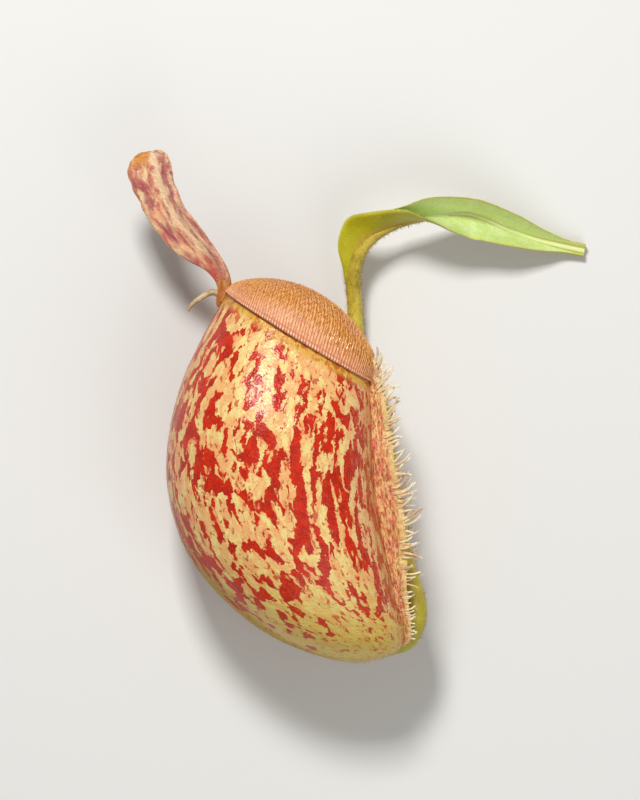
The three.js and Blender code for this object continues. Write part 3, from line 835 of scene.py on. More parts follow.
def cup_material(look):
    """Cream skin with red splotches, broad at the back and drawn out beside the wings."""
    t = Skin("cup_skin")
    flow = t.mark("flow", 1)
    down = t.mark("down")
    front = t.mark("front")
    # The keel is the back outline from 38 to 60 mm down. Its deep olive is partly the skin's colour and
    # partly painted shade where the cup curves away from the light
    keel = t.times(t.smooth(front, -0.74, -0.91), t.smooth(down, 38.0, 60.0))
    broad = t.patches(flow, 2.1, 3.9, 0.65, 0.38)
    drawn = t.patches(t.moved(flow, 7, -23, 2), 1.6, 6.2, 0.6, 0.4)
    field = t.weighed(t.smooth(front, -0.3, 0.6), broad, drawn)
    level = cup_level(t, flow, down, front, keel)
    spots = t.cut(field, level, 0.012)
    halo = t.cut(field, t.minus(level, 0.035), 0.035)
    small = t.patches(t.moved(flow, -13, 41, 3), 0.9, 1.5, 0.4, 0.3)
    flecks = t.cut(small, t.smooth(down, 60.0, 90.0, 0.665, 0.645), 0.015)
    reds = t.layered(
        tuple(look.red),
        (t.smooth(t.noise(flow, 0.45, 3.0, 0.6), 0.35, 0.65), tuple(look.dark_red)),
        (t.smooth(down, 52.0, 84.0, 0.0, 0.7), "#AC4216"),
    )
    beside = t.smooth(front, 0.6, 0.9)
    wrinkles = t.times(t.veins(flow, 0.42, 2.4, 0.4), beside, 0.5)
    pale_wrinkles = t.times(t.veins(t.moved(flow, 3, 9, 1), 0.5, 2.8, 0.42), beside, 0.55)
    # The golden band under the collar, bruised here and there
    wander = t.plus(down, t.noise(flow, 0.4, 3.0, 0.6), t.smooth(front, 0.0, -0.9, 0.0, 1.3))
    rim = t.smooth(wander, 3.6, 5.8, 1.0, 0.0)
    bruise = t.times(rim, t.smooth(t.noise(t.moved(flow, 3, 3, 3), 0.7), 0.52, 0.6), 0.7)
    fine = t.noise(flow, 2.4, 4.0, 0.65)
    colour = t.layered(
        cup_ground(t, look, flow, down, front, keel),
        (t.times(halo, 0.3), "#D4643C"),
        (t.math("MAXIMUM", spots, t.times(flecks, 0.75)), reds),
        (wrinkles, "#9A3A20"),
        (pale_wrinkles, "#E4BE86"),
        (t.times(rim, 0.85), "#D2A23E"),
        (bruise, "#B2481E"),
        # Painted shadow: a dark brown strip on the cup just under the collar's lip
        (t.smooth(down, 2.1, 1.3, 0.0, 0.5), "#9A4420"),
        (t.times(t.mark("vein"), 0.4), "#B7743C"),
        (t.smooth(down, 80.0, 91.0, 0.0, 0.72), "#C2AA2E"),
        (t.smooth(fine, 0.42, 0.74, 0.0, 0.28), "#9A5E22"),
    )
    lining = t.layered(
        "#CBCC86", (t.times(spots, 0.35), "#B06A50"), (t.smooth(down, 0.0, 40.0), "#A4AC62")
    )
    relief = t.bump(t.grain(flow, 0.45), 0.0002, 0.6)
    return t.finish(
        Base_Color=t.mix(t.mark("inner"), colour, lining),
        Normal=t.bump(t.noise(flow, 0.25), 0.0015, 0.3, relief),
        Roughness=t.plus(t.smooth(fine, 0.25, 0.75, 0.2, 0.38), t.times(keel, 0.32)),
        Specular_IOR_Level=0.32,
    )


def collar_material(look):
    """Golden ribs with crumbled tops, rosy towards the lip and wet on one side."""
    t = Skin("collar_ribs")
    flow = t.mark("flow", 1)
    across = t.mark("across")
    crumbs = t.noise(flow, 2.6, 3.0, 0.6)
    ridge = t.times(t.smooth(t.mark("rib"), -0.7, 0.5), t.smooth(crumbs, 0.36, 0.56, 0.22, 1.0))
    face = t.layered(
        tuple(look.ridge),
        (t.smooth(t.noise(flow, 0.14), 0.4, 0.62), "#E0A04E"),
        (t.smooth(t.noise(t.moved(flow, 9, 4, 1), 0.2), 0.48, 0.66, 0.0, 0.5), "#E6A27A"),
    )
    blush = t.times(t.smooth(across, 0.05, 0.34, 0.75, 0.0), ridge)
    lip = t.smooth(across, 0.025, 0.04, 0.85, 0.0)
    furrow = t.window(across, 0.035, 0.045, 0.058, 0.075)
    crest = t.window(across, 0.84, 0.97, 1.02, 1.15)
    underside = t.smooth(across, -0.2, -0.03, 1.0, 0.0)
    throat = t.smooth(across, 1.15, 1.9, 0.0, 0.6)
    colour = t.layered(
        tuple(look.groove),
        (ridge, face),
        (t.smooth(across, 0.04, 0.35, 0.45, 0.0), "#D88E5E"),
        (blush, "#EFB394"),
        (lip, t.mix(ridge, "#B8684C", "#F6CBB0")),
        (t.times(furrow, 0.5), "#B4663C"),
        (t.times(crest, 0.5), "#E4A680"),
        (underside, "#B0401E"),
        (throat, "#935A26"),
    )
    forward = t.parts(flow)[0]
    wet = t.times(t.window(across, 0.08, 0.16, 0.28, 0.45), t.window(forward, 3.0, 6.5, 9.5, 13.0))
    return t.finish(
        Base_Color=colour,
        Normal=t.bump(t.grain(flow, 0.38), 0.00016, 0.6),
        Roughness=t.minus(t.smooth(crumbs, 0.3, 0.7, 0.42, 0.6), t.times(wet, 0.3)),
        Specular_IOR_Level=0.42,
    )


def lid_material():
    """Cream skin with soft rose blotches, a pale streak along the middle and an orange tip."""
    t = Skin("lid_skin")
    flow = t.mark("flow", 1)
    across = t.mark("across")
    along = t.mark("along")
    wander = t.plus(across, t.times(t.minus(t.noise(flow, 0.5), 0.5), 0.5))
    pale = t.cut(t.patches(t.moved(flow, 5, 2, 8), 1.4, 3.4, 0.5, 0.1), 0.53, 0.08)
    level = t.plus(t.smooth(across, -0.5, 0.35, 0.515, 0.495), t.smooth(along, 0.8, 0.95, 0.0, 0.1))
    rose = t.cut(t.patches(flow, 1.4, 3.2, 0.5, 0.08), level, 0.13)
    level = t.plus(t.smooth(across, 0.1, 0.6, 0.6, 0.53), t.smooth(along, 0.84, 0.95, 0.0, 0.12))
    deep = t.cut(t.patches(t.moved(flow, 4, 9, 2), 1.5, 3.0, 0.5, 0.08), level, 0.11)
    streak = t.times(t.window(wander, -0.42, -0.2, -0.08, 0.12), t.smooth(along, 0.2, 0.35), 0.72)
    tip = t.times(t.smooth(along, 0.78, 0.9), t.smooth(wander, 0.0, 0.4), 0.85)
    stalk = t.times(t.smooth(along, 0.34, 0.2), t.smooth(wander, -0.4, 0.2, 0.3, 0.8))
    margin = t.smooth(t.math("ABSOLUTE", across), 0.88, 1.0, 0.0, 0.5)
    colour = t.layered(
        "#E1B082",
        (t.smooth(t.noise(flow, 0.3), 0.38, 0.62), "#DB9A76"),
        (pale, "#E6CB96"),
        # Painted light: the half of the lid's fold that faces away from the key light is made paler pink
        (t.smooth(wander, 0.3, -0.4, 0.0, 0.62), "#FFC8A8"),
        (t.times(rose, 0.76), "#B64E52"),
        (t.times(deep, 0.7), "#903A4A"),
        (streak, "#FFE2B2"),
        (tip, "#D98E34"),
        (stalk, "#B4483A"),
        (t.smooth(along, 0.19, 0.1, 0.0, 0.9), "#BC7A30"),
        (margin, "#D8A474"),
        (t.smooth(t.noise(flow, 2.2, 3.0, 0.6), 0.45, 0.75, 0.0, 0.22), "#9A5A40"),
    )
    relief = t.bump(t.grain(flow, 0.4), 0.0002, 0.6)
    return t.finish(
        Base_Color=colour,
        Normal=t.bump(t.noise(flow, 0.5, 3.0, 0.6), 0.001, 0.6, relief),
        Roughness=0.4,
        Specular_IOR_Level=0.4,
    )


def wing_material():
    """Cream and salmon skin with fine red, brown and pale streaks, and a yellow edge."""
    t = Skin("wing_skin")
    flow = t.mark("flow", 1)
    reach = t.math("ABSOLUTE", t.mark("across"))
    edge = t.smooth(t.plus(reach, t.times(t.noise(flow, 0.5), 0.3)), 0.78, 1.12)
    red = t.times(t.veins(flow, 0.6, 2.0, 0.54), t.smooth(edge, 0.0, 1.0, 0.7, 0.25))
    dark = t.times(t.veins(t.moved(flow, 2, 5, 8), 0.34, 1.3, 0.46), t.smooth(edge, 0.0, 1.0, 0.7, 0.4))
    pale = t.times(t.veins(t.moved(flow, 9, 1, 3), 0.4, 1.6, 0.42), 0.5)
    colour = t.layered(
        "#DDBE76",
        (t.smooth(t.noise(flow, 0.35), 0.4, 0.62), "#DDA078"),
        (red, "#C4503C"),
        (dark, "#86421E"),
        (pale, "#E8CC88"),
        (t.times(edge, 0.55), "#DCC880"),
    )
    folds = t.noise(t.vector("MULTIPLY", flow, (1.6, 1.6, 0.6)), 1.0)
    relief = t.bump(t.grain(flow, 0.4), 0.00018, 0.6)
    return t.finish(
        Base_Color=colour,
        Normal=t.bump(folds, 0.0008, 0.5, relief),
        Roughness=0.38,
        Specular_IOR_Level=0.4,
    )


def filament_material():
    """Cream filaments, dappled brown, darker at the root and palest at the tip."""
    t = Skin("filament_skin")
    reach = t.mark("reach")
    place = t.place()
    colour = t.layered(
        "#E8D8A8",
        (t.smooth(t.noise(place, 0.9), 0.4, 0.65), "#E0B890"),
        (t.smooth(reach, 0.4, 0.95, 0.0, 0.75), "#F6EED4"),
        (t.smooth(t.noise(place, 0.33, 1.0), 0.5, 0.66, 0.0, 0.55), "#A87850"),
        (t.smooth(reach, 0.0, 0.3, 0.5, 0.0), "#CBA368"),
    )
    return t.finish(Base_Color=colour, Roughness=0.32, Specular_IOR_Level=0.5)


def green_material(name, pale, deep, warm):
    """The speckled skin of the tendril, of the leaf's midrib, of the lid's root and of the spur."""
    t = Skin(name)
    place = t.place()
    colour = t.layered(
        pale,
        (t.smooth(t.noise(place, 0.25), 0.38, 0.64), deep),
        (t.smooth(t.noise(t.moved(place, 9, 5, 2), 0.45, 3.0, 0.6), 0.48, 0.66, 0.0, 0.45), warm),
        (t.smooth(t.noise(place, 2.4, 3.0, 0.6), 0.56, 0.7, 0.0, 0.5), "#7E5A24"),
        (t.smooth(t.parts(place)[1], -34.0, -50.0, 0.0, 0.65), "#8F8A1E"),
        (t.mark("furrow"), "#D6E2A0"),
    )
    return t.finish(
        Base_Color=colour,
        Normal=t.bump(t.grain(place, 0.33), 0.0001, 0.6),
        Roughness=0.38,
        Specular_IOR_Level=0.38,
    )


def leaf_material():
    """Olive outside with a brown band along the midrib, milky green inside with a pale furrow."""
    t = Skin("leaf_skin")
    flow = t.mark("flow", 1)
    across = t.mark("across")
    along = t.mark("along")
    upper = t.mark("face")
    reach = t.math("ABSOLUTE", across)
    mottle = t.smooth(t.noise(flow, 0.3, 3.0, 0.55), 0.4, 0.62)
    # Painted light: the far half of the fold, which faces away from the light, is made paler
    painted_light_far_half = t.smooth(across, 0.05, -0.15, 0.0, 0.4)
    outer = t.layered("#AAA216", (mottle, "#B6AC20"), (t.smooth(along, 0.32, 0.5), "#AFBB48"))
    inner = t.layered("#C8DA84", (mottle, "#D6E4A0"), (painted_light_far_half, "#DAE49C"))
    inside = t.smooth(upper, -0.2, 0.2)
    outside = t.smooth(upper, 0.2, -0.2)
    band = t.times(t.smooth(reach, 0.1, 0.46, 1.0, 0.0), outside, t.smooth(along, 0.5, 0.75, 0.8, 0.35))
    furrow = t.times(inside, t.smooth(reach, 0.04, 0.2, 0.7, 0.0))
    veins = t.veins(flow, 0.8, 16.0, 0.46)
    speck = t.smooth(t.noise(flow, 1.9, 3.0, 0.6), 0.42, 0.7, 0.0, 0.3)
    colour = t.layered(
        outer,
        (inside, inner),
        (t.smooth(reach, 0.86, 1.0, 0.0, 0.75), "#CFCB46"),
        (band, "#B08E30"),
        (furrow, "#ECF0C8"),
        (t.times(veins, upper, 0.12), "#F0F4D0"),
        (speck, t.mix(outside, "#9CB058", "#7E7A1C")),
    )
    relief = t.bump(t.grain(flow, 0.4), 0.00015, 0.5)
    return t.finish(
        Base_Color=colour,
        Normal=t.bump(veins, 0.0001, 0.25, relief),
        Roughness=0.44,
        Specular_IOR_Level=0.26,
    )


def hair_material(name, base, tip):
    t = Skin(name)
    return t.finish(Base_Color=t.mix(t.mark("reach"), base, tip), Roughness=0.5)


# Settings


def colour_setting(name, description, code):
    return bpy.props.FloatVectorProperty(
        name=name, description=description, size=4, min=0, max=1, subtype="COLOR", default=linear(code)
    )


def length_setting(name, description, millimetres):
    return bpy.props.FloatProperty(
        name=name, description=description, default=millimetres * MM, unit="LENGTH", precision=5, min=0
    )


def power_setting(name, description, watts):
    return bpy.props.FloatProperty(name=name, description=description, default=watts, unit="POWER")


def count_setting(name, description, default):
    return bpy.props.IntProperty(name=name, description=description, default=default, min=0)


class CupSettings(bpy.types.PropertyGroup):
    cream: colour_setting("Cream", "Pale ground of the cup's skin", "#E5D084")
    peach: colour_setting("Peach", "Warm ground of the cup's skin", "#E4A468")
    red: colour_setting("Red", "Colour of the splotches", "#C62206")
    dark_red: colour_setting("Dark red", "Colour of the deepest splotches", "#A81808")
    sides: count_setting("Sides", "Points round the cup", 260)
    rings: count_setting("Rings", "Rings from the mouth to the foot", 190)
    fuzz: count_setting("Fuzz", "Number of fine hairs on the cup", 4200)


class CollarSettings(bpy.types.PropertyGroup):
    ribs: count_setting("Ribs", "Ribs round the collar", 186)
    rib_height: length_setting("Rib height", "Height of a rib over its groove, halved", 0.14)
    ridge: colour_setting("Ridge", "Colour on top of the ribs", "#E8AA60")
    groove: colour_setting("Groove", "Colour between the ribs", "#A86026")


class FringeSettings(bpy.types.PropertyGroup):
    near_filaments: count_setting("Near filaments", "Filaments of the wing that shows", 94)
    far_filaments: count_setting("Far filaments", "Filaments of the wing behind it", 52)
    radius: length_setting("Filament radius", "Radius of a filament at its root", 0.28)
    shortest: length_setting("Shortest", "Length of the shortest filament past the wing's edge", 1.8)
    longest: length_setting("Longest", "Length of the longest filament past the wing's edge", 6.8)
    thickness: length_setting("Wing thickness", "Thickness of the wings", 0.6)


class LeafSettings(bpy.types.PropertyGroup):
    lid_ripple: length_setting("Lid ripple", "Height of the waves on the lid's margin", 0.25)
    leaf_hairs: count_setting("Leaf hairs", "Hairs on the leaf's midrib", 1200)
    tendril_hairs: count_setting("Tendril hairs", "Hairs on the tendril", 2000)


class StageSettings(bpy.types.PropertyGroup):
    camera_height: length_setting("Camera height", "Height of the camera over the floor", 1500)
    key_power: power_setting("Key power", "Power of the main soft light", 6.2)
    fill_power: power_setting("Fill power", "Power of the soft light opposite", 2.6)
    floor: colour_setting("Floor", "Colour of the plain floor", "#D9D8D4")


# Operators


class PITCHER_OT_cup(bpy.types.Operator):
    """Make the hollow cup with its mottled skin and fine fuzz"""

    bl_idname = "pitcher.cup"
    bl_label = "Make Cup"

    def execute(self, context):
        look = context.scene.pitcher_cup
        angle = whole_turn(look.sides)[None]
        outer = np.linspace(0, 1, look.rings + 1)[:-1, None]
        within = np.linspace(LINING_END, 0, look.rings // 4)[:, None]
        vein = sum(bell(v, VEIN_WIDTH, angle / DEGREE) for v in VEIN_ANGLES)
        vein = vein * window(*VEIN_FADE, outer)
        inside = cup_point(within, angle, inside=WALL)
        outside = cup_point(outer, angle, relief=VEIN_HEIGHT * vein)
        start, end = (np.broadcast_to(foot_point(deep), (1, look.sides + 1, 3)) for deep in (WALL, 0.0))
        places = np.concatenate([[[LINING_POLE]], within, outer, [[1.0]]])
        lining, skin = len(within) + 1, len(outer) + 1
        piece = sheet(
            "cup",
            np.concatenate([start, inside, outside, end]),
            flow=unbent(places, angle),
            down=SKIN_LENGTH * places,
            inner=np.repeat([1.0, 0.0], [lining, skin])[:, None],
            vein=np.pad(vein, ((lining, 1), (0, 0))),
            front=np.cos(angle),
        )
        dress(piece, cup_material(look), "cup", "pitcher_cup")
        self.fuzz(look.fuzz, seed=5)
        return {"FINISHED"}

    def fuzz(self, count, seed):
        draw = np.random.default_rng(seed)
        place = draw.uniform(*FUZZ_SPAN, count)
        angle = draw.uniform(0, 2 * math.pi, count)
        roots = cup_point(place, angle)
        headings = outer_normal(place, angle)
        kept = (roots[:, 2] > FUZZ_LOWEST) & (headings[:, 2] > FUZZ_STEEPEST)
        lengths = draw.uniform(*FUZZ_LENGTHS, kept.sum())
        piece = hair("cup_fuzz", roots[kept], headings[kept], lengths, FUZZ_RADIUS, seed + 1, FUZZ_SAG)
        dress(piece, hair_material("fuzz_hair", "#B98A52", "#D8B27C"), "cup")


class PITCHER_OT_collar(bpy.types.Operator):
    """Make the finely ribbed collar round the mouth"""

    bl_idname = "pitcher.collar"
    bl_label = "Make Collar"

    def execute(self, context):
        look = context.scene.pitcher_collar
        angle = whole_turn(look.ribs * COLUMNS_PER_RIB)[None]
        rows = self.underside(look, angle) + self.upper_side(look, angle) + self.inner_side(angle)
        rows.append(rows[0])
        rings, across, ribs = zip(*rows)
        across = np.array(across)[:, None]
        forward = COLLAR_FLOW_RADIUS * np.cos(angle)
        sideways = COLLAR_FLOW_RADIUS * np.sin(angle)
        flow = np.stack(np.broadcast_arrays(forward, sideways, COLLAR_FLOW_WIDTH * across), -1)
        piece = sheet("collar", np.concatenate(rings), flow=flow, across=across, rib=np.concatenate(ribs))
        dress(piece, collar_material(look), "peristome", "peristome")
        return {"FINISHED"}

    def underside(self, look, angle):
        """Rings from the cup's rim out to the lip, each with its place across and its ribs."""
        lip = overhang(angle)
        hang = droop(angle)
        rib = rib_height(look.ribs, 0, angle)
        steps = [  # place across, how far out of the cup's rim, and how far up
            (-1.0, -0.9 * WALL, -0.7),
            (-0.8, -0.1, -0.7),
            (-0.5, 0.2 * lip, -0.45 - 0.4 * hang),
            (-0.3, 0.6 * lip, -0.12 * lip - 0.1 - 0.9 * hang),
            (-0.1, lip - 0.25 + 0.05 * rib, -0.1 * lip - hang),
        ]
        return [
            (collar_point(angle, MOUTH_LENGTH + out, MOUTH_DEPTH + out, 0, SEAT_GAP + up), v, rib)
            for v, out, up in steps
        ]

    def upper_side(self, look, angle):
        """Rings from the lip over the crest to the inner margin."""
        rows = []
        for v in [*LIP_PLACES, *np.linspace(0.16, 1, 17), *np.linspace(1.1, 2, 9)]:
            rib = rib_height(look.ribs, v, angle)
            tall = 0.5 + 0.5 * min(1, 3 * v) + RIB_SWELL * bell(*RIB_SWELL_PLACE, v)
            swell = look.rib_height / MM * tall * rib + LIP_BEAD * bell(*LIP_BEAD_PLACE, v)
            rows.append((collar_face(v, angle) + collar_normal(v, angle) * swell[..., None], v, rib))
        return rows

    def inner_side(self, angle):
        """Rings from the inner margin back under the crest."""
        rows = []
        for v in np.linspace(1.95, 0.3, 7):
            ring = collar_face(v, angle) - collar_normal(v, angle) * COLLAR_THICKNESS
            rows.append((ring, 2.0, 0 * angle))
        return rows


class PITCHER_OT_lid(bpy.types.Operator):
    """Make the flecked lid on its stalk, and the spur behind it"""

    bl_idname = "pitcher.lid"
    bl_label = "Make Lid and Spur"

    def execute(self, context):
        dress(self.blade(context.scene.pitcher_leaf.lid_ripple / MM), lid_material(), "lid", "lid")
        piece = stem_sheet("lid_root", LID_ROOT, rows=60, sides=28, relief=0.06)
        dress(piece, green_material("lid_root_skin", "#CC9A3E", "#AE6428", "#92401E"), "lid", "lid")
        piece = stem_sheet("spur_stalk", SPUR, rows=60, sides=20, relief=0.05)
        dress(piece, green_material("spur_skin", "#C8B48C", "#A68E64", "#8A6A46"), "spur", "spur")
        piece = stem_hair(
            "spur_hairs",
            SPUR,
            SPUR_HAIRS,
            seed=21,
            span=(0.1, 1),
            lengths=(0.3, 0.6),
            radius=0.025,
            root=0.95,
        )
        dress(piece, hair_material("pale_hair", "#B08A58", "#D8BE92"), "spur")
        return {"FINISHED"}

    def blade(self, height):
        """The folded blade, rippled to a height at its margin, with a rib on its lower face."""
        u = stations(150)
        x, y, z, width, thickness = np.moveaxis(between(LID, u), -1, 0)
        along = direction(LID, u)
        left, _ = left_and_up(along)
        across = left * math.cos(LID_TURN * DEGREE) + UP * math.sin(LID_TURN * DEGREE)
        normal = unit(np.cross(along, across))
        fold = LID_FOLD * DEGREE
        fading = window(*LID_FADE, u)

        def point_at(f):
            side = np.sign(f)
            wave = np.sin(31 * u + 2 * side) + 0.5 * np.sin(67 * u - side) + 0.3 * np.sin(113 * u + 3 * side)
            ripple = height * wave * fading
            reach = f * (width * math.cos(fold) + (0.12 + 0.16 * (f < 0)) * ripple * f**2)
            opening = (np.hypot(f, LID_CREASE) - LID_CREASE) / (math.hypot(1, LID_CREASE) - LID_CREASE)
            lift = opening * width * math.sin(fold) + ripple * np.abs(f) ** 3
            lift = lift + 0.16 * fading * np.sin(6 * f + 40 * u)
            middle = np.stack([x, y, z], -1) + across * reach[..., None]
            return middle + normal * lift[..., None], normal

        def thickness_at(f, face):
            return thickness / 2 * face * (1 + LID_RIB_SWELL * bell(0, LID_RIB_WIDTH, f) * (face < 0))

        lines = np.linspace(1, -1, 25)
        return blade_sheet("lid_blade", u, lines, point_at, thickness_at, width, LID_LENGTH)


class PITCHER_OT_wings(bpy.types.Operator):
    """Make the two thin wings with their fringes of blunt filaments"""

    bl_idname = "pitcher.wings"
    bl_label = "Make Wings"

    def execute(self, context):
        look = context.scene.pitcher_fringe
        skin = wing_material()
        filament_skin = filament_material()
        for name, table, side, count, seed in (
            ("near", NEAR_WING, 1, look.near_filaments, 7),
            ("far", FAR_WING, -1, look.far_filaments, 11),
        ):
            piece = self.blade(f"wing_{name}_blade", table, side, look.thickness / MM)
            dress(piece, skin, "wing", f"wing_{name}")
            piece = self.fringe(f"fringe_{name}", table, side, count, seed, look)
            dress(piece, filament_skin, "wing", f"wing_{name}")
        return {"FINISHED"}

    def blade(self, name, table, side, thickness):
        u = stations(220)
        root, out, width, wave = wing_edge(table, side, u)
        width = width * mixed(0.25, 1, smooth_step(1.0, 0.93, u))
        normal = wing_normal(side, out)

        def point_at(f):
            reach = mixed(-WING_ROOT, width, np.abs(f))
            pleats = 0.1 * np.sin(WING_PLEATS * u) * smooth_step(0.4, 1, np.abs(f))
            lean = 0.5 * wave * np.abs(f) ** 2 + pleats
            return root + out * reach[..., None] + normal * lean[..., None], normal

        def thickness_at(f, face):
            return thickness / 2 * face

        lines = np.linspace(0, 1, 15)
        return blade_sheet(name, u, lines, point_at, thickness_at, WING_FLOW_WIDTH, WING_FLOW_LENGTH)

    def fringe(self, name, table, side, count, seed, look):
        draw = np.random.default_rng(seed)
        # Filaments stand in small clumps, and each starts on the blade a little inside its edge
        u = (np.arange(count) + draw.uniform(-0.4, 0.4, count)) / count
        u = u + FRINGE_CLUMPING * np.sin(FRINGE_CLUMPS * u)
        u = np.clip(FRINGE_END * u, 0, FRINGE_END) ** FRINGE_CROWDING
        root, out, width, _ = wing_edge(table, side, u)
        fade_start, fade_end, last = FRINGE_FADE
        fading = mixed(1, last, smooth_step(fade_start, fade_end, u))
        length = mixed(look.shortest, look.longest, draw.beta(1.5, 2.0, count)) / MM * fading
        first, final, scatter = FILAMENT_LIFT
        lift = (mixed(first, final, u) + scatter * draw.uniform(-0.7, 0.7, count)) * DEGREE
        splay = side * mixed(*FILAMENT_SPLAY, draw.uniform(0, 1, count)) * DEGREE
        curl = mixed(*FILAMENT_CURL, draw.beta(1.5, 1.8, count)) * DEGREE
        curl = np.where(draw.uniform(0, 1, count) < FILAMENT_CURLED_BACK, -0.6 * curl, curl)
        sunk = np.minimum(width * 0.5, draw.uniform(*FILAMENT_SUNK, count))
        # Each leaves the blade in its direction and then bends to its own
        f = np.linspace(0, 1, FILAMENT_STATIONS)
        heading = pointing(lift[:, None] + curl[:, None] * f**1.3, splay[:, None] * (1 - 0.5 * f))
        heading = unit(mixed(out[:, None], heading, smooth_step(0.0, 0.25, f)[:, None]))
        step = ((length + sunk) / (FILAMENT_STATIONS - 1))[:, None, None]
        run = np.concatenate([0 * heading[:, :1], np.cumsum(heading[:, :-1] * step, axis=1)], 1)
        normal = wing_normal(side, out) * side
        seat = FILAMENT_SEAT * np.sign(normal[:, 2:] * side)
        starts = root + out * (width - sunk)[:, None] + normal * seat
        thick = draw.uniform(*FILAMENT_RADII, count) * mixed(0.6, 1, fading)
        radii = look.radius / MM * np.interp(f, *FILAMENT_PROFILE) * thick[:, None]
        return strands(name, starts[:, None] + run, radii, FILAMENT_SIDES)


class PITCHER_OT_tendril(bpy.types.Operator):
    """Make the hairy tendril"""

    bl_idname = "pitcher.tendril"
    bl_label = "Make Tendril"

    def execute(self, context):
        count = context.scene.pitcher_leaf.tendril_hairs
        piece = stem_sheet("tendril_stem", TENDRIL, rows=320, sides=36, relief=0.02, flare=0.3)
        skin = green_material("tendril_skin", "#D8C450", "#C0AE34", "#C2923C")
        dress(piece, skin, "tendril", "tendril")
        piece = stem_hair("tendril_hairs", TENDRIL, count, seed=31, span=(0.08, 1), lengths=(0.4, 1.0))
        dress(piece, hair_material("brown_hair", "#6E4A20", "#A8803E"), "tendril")
        return {"FINISHED"}


class PITCHER_OT_leaf(bpy.types.Operator):
    """Make the folded leaf with its midrib and its hairs"""

    bl_idname = "pitcher.leaf"
    bl_label = "Make Leaf"

    def execute(self, context):
        dress(self.lamina(), leaf_material(), "leaf", "leaf_blade")
        skin = green_material("midrib_skin", "#BEA838", "#AA9828", "#B28632")
        dress(self.midrib(), skin, "leaf", "leaf_blade")
        piece = self.hairs(context.scene.pitcher_leaf.leaf_hairs)
        dress(piece, hair_material("leaf_hair", "#6E4A20", "#A8803E"), "leaf")
        return {"FINISHED"}

    def lamina(self):
        u = stations(260)
        x, y, z, _, width, turn, opening, far_share = np.moveaxis(between(LEAF, u), -1, 0)
        left, up = left_and_up(direction(LEAF, u))
        far_width = width * far_share

        def point_at(f):
            side = np.clip(f / LEAF_CREASE, -1, 1)
            heading = turned(left, up, (turn + side * opening) * DEGREE)
            normal = turned(left, up, (turn - side * (90 - opening)) * DEGREE)
            reach = np.abs(f) * np.where(f < 0, far_width, width)
            return np.stack([x, y, z], -1) + heading * reach[..., None], normal

        def thickness_at(f, face):
            return np.where(face > 0, -0.02, -LEAF_THICKNESS)

        lines = np.concatenate([np.linspace(-1, -0.1, 14), [-0.05, 0.0, 0.05], np.linspace(0.1, 1, 14)])
        return blade_sheet("leaf_lamina", u, lines, point_at, thickness_at, width, LEAF_LENGTH)

    def midrib(self):
        """The round midrib, whose side in the fold is low and pale."""
        rows = [[*TENDRIL_END, LEAF[0][5]], *([*row[:4], row[5]] for row in LEAF)]
        u = stations(300)
        x, y, z, radius, turn = np.moveaxis(between(rows, u), -1, 0)
        angle = whole_turn(32)[None]
        furrow = smooth_step(0.8, 0.93, np.cos(angle)) * smooth_step(0.45, 0.56, u)
        ring = turned(*left_and_up(direction(rows, u)), angle + turn * DEGREE)
        net = np.stack([x, y, z], -1) + ring * (radius * (1 - FURROW_DEPTH * furrow))[..., None]
        return closed_sheet("leaf_midrib", net, furrow=furrow)

    def hairs(self, count):
        def is_in_fold(u, headings):
            into_fold = turned(*left_and_up(direction(LEAF, u)), between(LEAF, u)[:, 5] * DEGREE)
            return (np.sum(headings * into_fold, -1) > -0.1) & (u > LEAF_OPENS)

        return stem_hair(
            "leaf_hairs",
            LEAF,
            count,
            seed=41,
            span=(0, 0.75),
            lengths=(0.45, 1.05),
            crowding=1.3,
            is_bare=is_in_fold,
        )


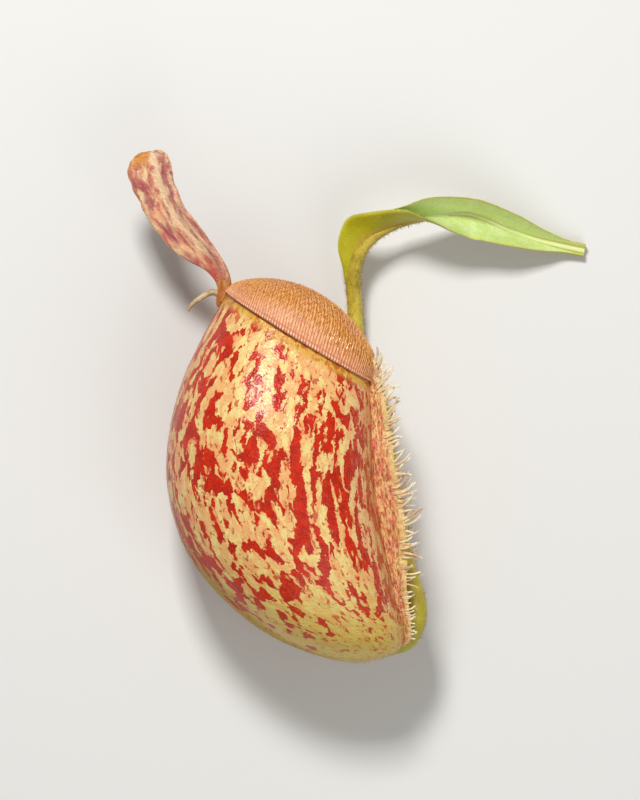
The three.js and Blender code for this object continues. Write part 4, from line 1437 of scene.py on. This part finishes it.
class PITCHER_OT_stage(bpy.types.Operator):
    """Make the pale floor, the soft lights and the camera"""

    bl_idname = "pitcher.stage"
    bl_label = "Make Stage"

    def execute(self, context):
        look = context.scene.pitcher_stage
        deselect()
        bpy.ops.mesh.primitive_plane_add(size=FLOOR_SIZE)
        floor = context.object
        floor.name = "floor"
        floor.data.materials.append(Skin("floor_paint").finish(Base_Color=tuple(look.floor), Roughness=0.85))
        self.light("key_light", *KEY_LIGHT, look.key_power)
        self.light("fill_light", *FILL_LIGHT, look.fill_power)
        world = bpy.data.worlds.new("studio")
        world.use_nodes = True
        world.node_tree.nodes["Background"].inputs["Color"].default_value = (1, 1, 1, 1)
        world.node_tree.nodes["Background"].inputs["Strength"].default_value = WORLD_STRENGTH
        context.scene.world = world
        context.scene.view_settings.view_transform = "Standard"
        self.camera(look.camera_height)
        return {"FINISHED"}

    def light(self, name, place, size, power):
        bpy.ops.object.light_add(type="AREA", location=place)
        lamp = bpy.context.object
        lamp.name = name
        lamp.data.size = size
        lamp.data.energy = power
        aim = -lamp.location
        lamp.rotation_euler = aim.to_track_quat("-Z", "Y").to_euler()

    def camera(self, height):
        centre_x = (IMAGE_WIDTH / 2 - ORIGIN_PIXEL[0]) / PIXELS_PER_MM
        centre_y = (ORIGIN_PIXEL[1] - IMAGE_HEIGHT / 2) / PIXELS_PER_MM
        bpy.ops.object.camera_add(location=(centre_x * MM, centre_y * MM, height), rotation=(0, 0, 0))
        camera = bpy.context.object
        camera.name = "camera"
        field = IMAGE_HEIGHT / PIXELS_PER_MM * MM
        camera.data.sensor_width = SENSOR
        camera.data.lens = SENSOR * (height - AXIS_HEIGHT * MM) / field
        camera.data.clip_end = 20
        bpy.context.scene.camera = camera


class PITCHER_PT_panel(bpy.types.Panel):
    """Lists the pieces of the pitcher leaf"""

    bl_idname = "PITCHER_PT_panel"
    bl_label = "Pitcher Leaf"
    bl_space_type = "VIEW_3D"
    bl_region_type = "UI"
    bl_category = "Pitcher Leaf"

    def draw(self, context):
        for operator in OPERATORS:
            self.layout.operator(operator.bl_idname)
        for name in SETTINGS:
            settings = getattr(context.scene, name)
            for prop in settings.__annotations__:
                self.layout.prop(settings, prop)


OPERATORS = (
    PITCHER_OT_stage,
    PITCHER_OT_cup,
    PITCHER_OT_collar,
    PITCHER_OT_lid,
    PITCHER_OT_wings,
    PITCHER_OT_tendril,
    PITCHER_OT_leaf,
)
SETTINGS = {
    "pitcher_cup": CupSettings,
    "pitcher_collar": CollarSettings,
    "pitcher_fringe": FringeSettings,
    "pitcher_leaf": LeafSettings,
    "pitcher_stage": StageSettings,
}


def register():
    for kind in (*SETTINGS.values(), *OPERATORS, PITCHER_PT_panel):
        bpy.utils.register_class(kind)
    for name, kind in SETTINGS.items():
        setattr(bpy.types.Scene, name, bpy.props.PointerProperty(type=kind))


def unregister():
    for name in SETTINGS:
        delattr(bpy.types.Scene, name)
    for kind in (PITCHER_PT_panel, *reversed(OPERATORS), *SETTINGS.values()):
        bpy.utils.unregister_class(kind)


def main():
    register()
    for build in (patches_group, grain_group, veins_group):
        build()
    bpy.ops.pitcher.stage()
    bpy.ops.pitcher.cup()
    bpy.ops.pitcher.collar()
    bpy.ops.pitcher.lid()
    bpy.ops.pitcher.wings()
    bpy.ops.pitcher.tendril()
    bpy.ops.pitcher.leaf()


if __name__ == "__main__":
    main()
